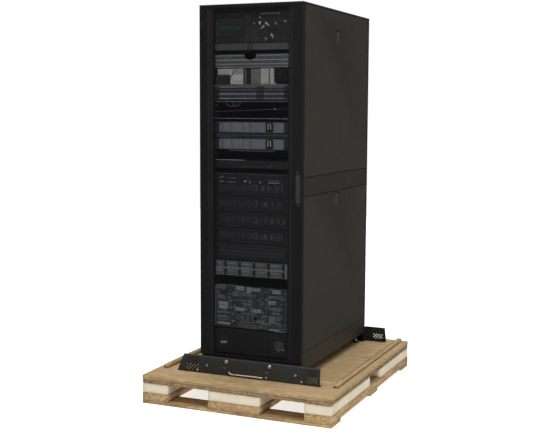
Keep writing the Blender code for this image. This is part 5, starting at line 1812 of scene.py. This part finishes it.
def console_drawer():
    """A folded-away console: a long finger bar, slide latches and a thin light edge."""
    low, high = lo("console_drawer"), hi("console_drawer")
    face = Front(low.y)
    ears(face, low, high)
    face.slab((-0.215, 0.215), (low.z + 0.003, high.z - 0.003), 0.004, "dark", 0.0014)
    face.slab((-0.213, -0.046), (high.z - 0.0006, high.z + 0.0024), 0.008, "strip", 0.0006)
    face.slab((0.09, 0.12), (1.296, 1.2985), 0.008, "strip_dim", 0.0006)
    face.slab((-0.044, 0.214), (high.z - 0.0045, high.z - 0.0027), 0.007, "dark_edge", 0.0005)
    face.slab((-0.19, 0.19), (high.z - 0.015, high.z - 0.0128), 0.0085, "dark_edge", 0.0006)
    face.slab((-0.07, 0.07), (low.z + 0.005, low.z + 0.013), 0.011, "dark_edge", 0.002)
    for x in (-0.202, 0.202):
        face.slab((x - 0.008, x + 0.008), (low.z + 0.01, low.z + 0.022), 0.009, "dark_edge", 0.002)
        # Near black inside each latch pad: painted shade for its finger recess.
        face.slab((x - 0.005, x + 0.005), (low.z + 0.013, low.z + 0.019), 0.01, "black_and_recess_shade", 0.001)
    face.make("console_front", ROOT, "network_dark")


def head_strip():
    """The module chassis's top band: rocker switches, label bars, a lamp, a star knob and a bar."""
    low, top = lo("module_chassis"), hi("module_chassis").z
    face = Front(low.y)
    ears(face, low, hi("module_chassis"))
    face.slab((-0.215, 0.215), (1.2075, top - 0.003), 0.0042, "module", 0.0012)
    face.slab((-0.21, 0.21), (top - 0.0085, top - 0.0065), 0.0052, "rib", 0.0005)
    for z in (1.2135, 1.236):
        face.slab((-0.1925, -0.165), (z - 0.005, z + 0.005), 0.0072, "rib_light", 0.0024)
        face.slab((-0.1855, -0.172), (z - 0.0026, z + 0.0026), 0.009, "strip_dim", 0.0015)
    face.slab((-0.148, -0.096), (1.2295, 1.2345), 0.006, "rib_light", 0.001)
    face.slab((-0.148, -0.096), (1.2085, 1.213), 0.0066, "strip_dim", 0.0012)
    face.turned([(0.0048, -0.01), (0.0062, -0.0085), (0.0062, -0.0035)], (-0.039, low.y, 1.217), "Y", "lead",
                20)
    star = []
    for i in range(20):
        a, r = 2 * math.pi * i / 20, 0.0135 if i % 2 == 0 else 0.0098
        star.append((1.233 + r * math.sin(a), -0.0185 + r * math.cos(a)))
    face.prism(star[::-1], "Y", low.y - 0.0092, low.y - 0.0038, "olive")
    face.turned([(0.0058, -0.0125), (0.007, -0.0108), (0.007, -0.0085)], (-0.0185, low.y, 1.233), "Y",
                "void_soft", 18)
    for x, z in ((-0.0105, 1.212), (0.049, 1.2135)):
        knob = [(0.0052, -0.0088), (0.0066, -0.007), (0.0066, -0.0035)]
        face.turned(knob, (x, low.y, z), "Y", "strip_dim", 18)
    for z in (1.2125, 1.2235):
        face.slab((0.0945, 0.1595), (z - 0.003, z + 0.003), 0.007, "rib_light" if z > 1.22 else "strip_dim",
                  0.0012)
    for i in range(7):
        face.slab((0.101 + i * 0.0105, 0.106 + i * 0.0105), (1.221, 1.2258), 0.0078, "case_shadow", 0.0004)
    face.make("module_head_strip", ROOT, "module_dark")
    low_strip = Front(low.y)
    bay = lo("power_module_4").z
    low_strip.slab((-0.215, 0.215), (low.z + 0.003, bay - 0.004), 0.003, "module", 0.0014)
    low_strip.ports((-0.19, 0.19), (low.z + 0.022, bay - 0.022), 34, 0.0044, "dark_edge", 0.3, thick=0.0014,
                    rows=2)
    low_strip.slab((-0.208, 0.208), (bay - 0.012, bay - 0.0105), 0.0042, "rib", 0.0005)
    low_strip.make("module_intake_strip", ROOT, "module_dark")


def power_modules():
    """Four pull-out power modules: a vented left half, ribs on the right, an oval pull ring and screws."""
    for index in range(4):
        name = f"power_module_{index + 1}"
        low, high = lo(name), hi(name)
        keep("module", name, bevel=0.0008)
        face = Front(low.y)
        middle = (low.z + high.z) / 2 + 0.002
        half = 0.019
        draw = random.Random(70 + index)
        face.slab((low.x + 0.002, high.x - 0.002), (low.z + 0.002, high.z - 0.002), 0.0014, "module", 0.0008)
        face.slab((-0.2, -0.085), (middle - half, middle + half), 0.003, "card", 0.0016)
        face.ports((-0.196, -0.089), (middle - half + 0.003, middle + half - 0.003), 15, 0.0042, "vent", 0.34,
                   thick=0.0014, rows=5)
        x = -0.072
        while x < 0.0:
            tall = half * draw.uniform(0.75, 1.0)
            face.slab((x - 0.0012, x + 0.0012), (middle - tall, middle + tall), 0.0062, "rib", 0.0008)
            x += draw.choice((0.011, 0.014, 0.017))
        face.loop(0.027, middle, 0.0175, half * 0.92, 0.0014, 0.011, "rib_light", power=2.2)
        face.slab((0.0245, 0.0295), (middle - 0.0115, middle + 0.0115), 0.0085, "rib_light", 0.0015)
        x = 0.056
        while x < 0.145:
            kind = draw.randrange(4)
            if kind == 0:
                face.tube([(x, face.y - 0.005, middle + half), (x + 0.003, face.y - 0.0062, middle),
                           (x + 0.009, face.y - 0.005, middle - half)], 0.0013, "rib", 6)
            elif kind == 1:
                face.handle((x, x), (middle - half * 0.9, middle + half * 0.9), 0.0015, 0.009, "rib")
            elif kind == 2:
                for dx in (0.0, 0.0105):
                    face.slab((x + dx - 0.0013, x + dx + 0.0013), (middle - half, middle + half), 0.0062,
                              "rib", 0.0008)
                face.slab((x, x + 0.0105), (middle - 0.0014, middle + 0.0014), 0.0056, "rib", 0.0006)
            else:
                face.slab((x - 0.0012, x + 0.0105), (middle - half * 0.7, middle + half * 0.6), 0.0036,
                          "rib", 0.001)
                face.slab((x - 0.0016, x + 0.0006), (middle - half, middle + half), 0.0066, "rib", 0.0008)
            x += 0.0185
        for x, look in ((0.1515, "rib_light"), (0.162, "rib")):
            face.slab((x - 0.0013, x + 0.0013), (middle - half * 1.05, middle + half), 0.007, look, 0.0009)
        face.handle((0.178, 0.178), (middle - half * 0.85, middle + half * 0.95), 0.0017, 0.01, "rib_light")
        for z in (low.z + 0.014, high.z - 0.014):
            for x in (low.x + 0.0075, high.x - 0.009):
                face.screw(x, z, 0.0042, "dark_edge", 0.0014)
        for i, look in enumerate(("led_green", "black_and_recess_shade", "led_amber" if index == 2 else "black_and_recess_shade")):
            face.lamp(0.1965, middle - 0.006 + i * 0.006, look, 0.0014, 0.0014)
        if index == 2:
            face.slab((0.186, 0.1925), (middle - 0.015, middle + 0.013), 0.006, "battery_green", 0.0012)
        face.make(f"power_module_face_{index + 1}", ROOT, "module_dark")


def battery_shelf():
    """Two rows of five battery strings, each with two ribbed halves, a dark latch and a pale end strip."""
    low, high = lo("battery_shelf"), hi("battery_shelf")
    face = Front(low.y)
    ears(face, low, high)
    face.slab((-0.218, 0.218), (low.z + 0.001, high.z - 0.001), 0.0012, "tray", 0.0006)
    latches = (-0.156, -0.071, 0.014, 0.1, 0.185)
    starts = (-0.215,) + tuple(x + 0.0075 for x in latches[:-1])
    row_height = (high.z - low.z - 0.006) / 2
    for row in range(2):
        z0 = low.z + 0.003 + row * row_height
        for column, (a, b) in enumerate(zip(starts, latches)):
            look = "battery_green" if (column + row) % 3 == 1 else "battery"
            split = z0 + row_height * 0.46
            face.slab((a + 0.0008, b + 0.004), (z0 + 0.0022, split - 0.001), 0.0068, look, 0.0014)
            face.slab((a + 0.0008, b + 0.004), (split + 0.0012, z0 + row_height - 0.0026), 0.008, look,
                      0.0014)
            face.slab((a + 0.0008, b + 0.004), (split - 0.0012, split + 0.0012), 0.0042, "case_shadow",
                      0.0005)
            face.slab((a + 0.006, b - 0.028), (split + 0.006, split + 0.0084), 0.0088, "strip", 0.0005)
            face.slab((a + 0.006, b - 0.018), (z0 + 0.006, z0 + 0.0082), 0.0076, "strip_dim", 0.0005)
            face.slab((b - 0.0068, b + 0.0036), (z0 + 0.012, z0 + row_height - 0.006), 0.0104, "black_and_recess_shade", 0.0016)
            face.slab((b - 0.0034, b + 0.0026), (z0 + 0.003, z0 + 0.012), 0.009, "void_soft", 0.001)
            face.slab((b - 0.003, b + 0.0004), (z0 + 0.016, z0 + 0.023), 0.0122, "dark_edge", 0.001)
            face.screw(a + 0.02, z0 + 0.0155, 0.0022, "strip_dim", 0.0066)
    face.slab((0.1925, 0.208), (low.z + 0.004, high.z - 0.004), 0.006, "strip_dim", 0.0014)
    middle = low.z + 0.003 + row_height
    face.slab((-0.215, 0.19), (middle - 0.0014, middle + 0.0014), 0.0094, "strip", 0.0006)
    face.make("battery_shelf_face", ROOT, "module_dark")


def distribution_unit():
    """An open wiring bay: three columns of breakers and terminal blocks between two upright looms."""
    low, high = lo("distribution_unit"), hi("distribution_unit")
    bay = Front(low.y)
    ears(bay, low, high)
    bay.slab((-0.219, 0.219), (low.z + 0.0006, high.z - 0.0006), 0.001, "tray", 0.0006)
    for x0, x1 in ((-0.216, -0.213), (0.206, 0.209)):
        bay.slab((x0, x1), (low.z + 0.004, high.z - 0.004), 0.015, "breaker", 0.001)
    breaker(bay, (-0.205, -0.16), (0.571, 0.5915), "breaker", -6)
    blocks = (
        ("breaker_light", -0.198, -0.142, 0.555, 0.516), ("breaker", -0.208, -0.128, 0.502, 0.49),
        ("breaker", -0.204, -0.146, 0.48, 0.467), ("breaker_light", -0.204, -0.128, 0.441, 0.429),
        ("breaker", -0.142, -0.098, 0.651, 0.643), ("breaker_light", -0.094, -0.046, 0.647, 0.626),
        ("breaker_light", -0.03, -0.004, 0.644, 0.614), ("breaker_light", -0.001, 0.054, 0.64, 0.624),
        ("breaker", -0.111, -0.078, 0.616, 0.591), ("breaker", -0.052, 0.005, 0.611, 0.595),
        ("breaker", -0.05, 0.003, 0.556, 0.544), ("breaker_light", -0.097, -0.04, 0.528, 0.511),
        ("breaker_light", -0.001, 0.057, 0.526, 0.508), ("breaker", 0.03, 0.083, 0.468, 0.451),
        ("battery_green", -0.058, 0.036, 0.44, 0.421), ("breaker", 0.097, 0.118, 0.644, 0.635),
        ("breaker_light", 0.122, 0.17, 0.64, 0.619), ("breaker", 0.1035, 0.193, 0.608, 0.592),
        ("breaker_light", 0.098, 0.141, 0.579, 0.56), ("breaker", 0.122, 0.177, 0.546, 0.525),
        ("breaker", 0.122, 0.17, 0.519, 0.507), ("breaker", 0.103, 0.141, 0.497, 0.458),
        ("breaker", 0.148, 0.177, 0.49, 0.478), ("breaker", 0.146, 0.172, 0.464, 0.447),
        ("breaker_light", 0.104, 0.164, 0.426, 0.418),
    )
    for look, x0, x1, top, bottom in blocks:
        breaker(bay, (x0, x1), (bottom, top), look)
    draw = random.Random(31)
    row_pitch = 0.0112
    for row in range(int((high.z - low.z - 0.02) / row_pitch)):
        z = low.z + 0.012 + row * row_pitch
        x = -0.211 + draw.uniform(0, 0.006)
        while x < 0.196:
            width = draw.choice((0.006, 0.009, 0.013, 0.02, 0.03))
            look = draw.choice(("tray", "breaker", "breaker", "battery", "dark_edge", "slate_dim"))
            tall = draw.uniform(0.005, 0.0088)
            rise = draw.uniform(0.0035, 0.007)
            if draw.random() < 0.8:
                bay.slab((x, min(x + width, 0.204)), (z, z + tall), rise, look, 0.0008)
                bay.slab((x + 0.0015, x + width * 0.4), (z + 0.0012, z + tall * 0.6), rise + 0.0012,
                         "void_soft", 0.0003)
            x += width + draw.uniform(0.0012, 0.005)
    for i in range(11):
        x = -0.2085 + i * 0.0052
        bay.slab((x, x + 0.003), (0.627, 0.65), 0.011, "breaker", 0.0007)
        bay.slab((x, x + 0.003), (0.596, 0.618), 0.009, "breaker" if i < 4 else "tray", 0.0007)
    for i in range(8):
        x = -0.048 + i * 0.0096
        bay.tube([(x, bay.y - 0.005, 0.503), (x + 0.0015, bay.y - 0.01, 0.49),
                  (x - 0.001, bay.y - 0.009, 0.47),
                  (x, bay.y - 0.005, 0.455)], 0.0019, ("breaker", "tray", "battery_green")[i % 3], 7)
    for z, look in (((0.493, 0.501), "breaker"), ((0.449, 0.456), "battery_green")):
        bay.slab((-0.055, 0.033), z, 0.0075, look, 0.001)
    bay.turned([(0.004, -0.011), (0.0052, -0.0095), (0.0052, 0.0)], (0.024, bay.y, 0.476), "Y", "void_soft",
               16)
    bay.slab((-0.205, 0.205), (low.z + 0.003, low.z + 0.0055), 0.008, "band_edge", 0.0006)
    bay.slab((0.134, 0.198), (low.z - 0.0035, low.z + 0.0022), 0.0072, "strip_dim", 0.0008)
    bay.slab((-0.05, 0.03), (low.z + 0.001, low.z + 0.003), 0.0068, "band_red", 0.0004)
    bay.make("wiring_bay_blocks", ROOT, "network_dark")
    looms()


def breaker(kit, x, z, look, tilt=0.0):
    """A terminal or breaker block: a body, a raised nose, toggles along it, tilted in degrees."""
    width, tall = x[1] - x[0], z[1] - z[0]
    middle = ((x[0] + x[1]) / 2, (z[0] + z[1]) / 2)
    parts = Kit()
    y = kit.y
    parts.box((x[0], y - 0.009, z[0]), (x[1], y + 0.0004, z[1]), look, 0.0016)
    parts.box((x[0] + 0.002, y - 0.0125, middle[1] - tall * 0.26),
              (x[1] - 0.002, y - 0.008, middle[1] + tall * 0.3), look, 0.0012)
    ways = max(2, round(width / 0.0092))
    for i in range(ways):
        cx = x[0] + 0.003 + (i + 0.5) * (width - 0.006) / ways
        if tall > 0.0135:
            parts.box((cx - 0.0016, y - 0.015, middle[1] - 0.0022),
                      (cx + 0.0016, y - 0.012, middle[1] + 0.003), "dark_edge", 0.0006)
            parts.box((cx + 0.0028, y - 0.0094, z[0] + 0.001), (cx + 0.0034, y - 0.0086, z[1] - 0.001),
                      "case_shadow")
        else:
            parts.turned([(0.0014, -0.0132), (0.0018, -0.0124), (0.0018, -0.0118)], (cx, y, middle[1]), "Y",
                         "case_shadow", 10)
    parts.turn(math.radians(tilt), *middle)
    kit.join(parts)


def looms():
    """Two upright bundles of tied wires between the columns of the wiring bay."""
    low = lo("distribution_unit")
    draw = random.Random(9)
    for name, x0, x1, z0, z1 in (("left", -0.127, -0.104, 0.617, 0.43), ("right", 0.09, 0.092, 0.645, 0.425)):
        loom = Kit()
        for i in range(6):
            path = []
            for k in range(13):
                t = k / 12
                x = x0 + (x1 - x0) * t + 0.0016 * math.sin(5.0 * t + i * 1.3) + (i - 2.5) * 0.0013
                y = low.y - 0.0065 - 0.003 * math.sin(4.2 * t + i * 0.9) - (i % 3) * 0.0018
                path.append((x, y, z0 + (z1 - z0) * t))
            loom.tube(path, 0.0013, draw.choice(("tray", "void_soft", "breaker", "lead_blue")), 6)
        for k in range(5):
            t = 0.08 + 0.2 * k
            x, z = x0 + (x1 - x0) * t, z0 + (z1 - z0) * t
            loom.box((x - 0.006, low.y - 0.015, z - 0.0016), (x + 0.006, low.y - 0.001, z + 0.0016), "lead",
                     0.0012)
            loom.box((x - 0.0024, low.y - 0.0168, z - 0.0024), (x + 0.0024, low.y - 0.014, z + 0.0024),
                     "lead", 0.0008)
        loom.make(f"wire_loom_{name}", ROOT, "network_dark")


def ups_face():
    """The power supply's front: a framed bezel, an intake, an oval display and a round dial."""
    low, high = lo("ups_bezel"), hi("ups_bezel")
    keep("module", "ups_bezel", bevel=0.001)
    keep("strip_dim", "ups_power_button", bevel=0.0008)
    face = Front(low.y)
    for z in ((low.z + 0.003, low.z + 0.0058), (high.z - 0.0058, high.z - 0.003)):
        face.slab((low.x + 0.004, high.x - 0.004), z, 0.0022, "card", 0.0008)
    for x0, x1 in ((low.x + 0.004, low.x + 0.0068), (high.x - 0.0068, high.x - 0.004)):
        face.slab((x0, x1), (low.z + 0.006, high.z - 0.006), 0.0022, "card", 0.0008)
    face.ports((-0.135, 0.108), (low.z + 0.016, high.z - 0.016), 30, 0.0026, "module", 0.3, thick=0.002,
               rows=7)
    face.slab((-0.185, -0.168), (0.322, 0.335), 0.004, "strip", 0.004)
    face.slab((-0.167, -0.148), (0.3235, 0.3365), 0.004, "strip", 0.004)
    face.slab((-0.186, -0.147), (0.3265, 0.332), 0.0034, "strip_dim", 0.0016)
    for i in range(3):
        face.lamp(-0.176 + i * 0.01, 0.35, "led_green" if i == 0 else "strip_dim", 0.0, 0.0014)
    lathe_ring(face, [(0.0205, 0), (0.027, 0), (0.0262, 0.0028), (0.024, 0.004), (0.0215, 0.003)],
               (0.16, low.y + 0.0002, 0.335), -1, "rib_light", 40)
    face.turned([(0.012, -0.0034), (0.015, -0.0026), (0.0165, 0.0004)], (0.16, low.y, 0.335), "Y", "rib", 32)
    face.slab((0.154, 0.166), (0.3375, 0.341), 0.0046, "void_soft", 0.0008)
    face.slab((0.15, 0.17), (0.312, 0.317), 0.0036, "strip_dim", 0.0012)
    for x in (0.1325, 0.1375, 0.183, 0.188):
        face.slab((x - 0.0012, x + 0.0012), (0.348, 0.356), 0.0024, "rib", 0.0005)
    face.make("ups_face_details", ROOT, "module_dark")


make_camera()
patch_leads()
bay_leads()
stage_floor()
lights()
pallet()
bracket("front")
bracket("rear")
shell()
front_door()
rear_doors()
casters()
rack_rails()
power_strips()
switch_block()
patch_panel()
shelf_devices()
switch_stack()
lacing_bar()
control_units()
console_drawer()
head_strip()
power_modules()
battery_shelf()
distribution_unit()
ups_face()
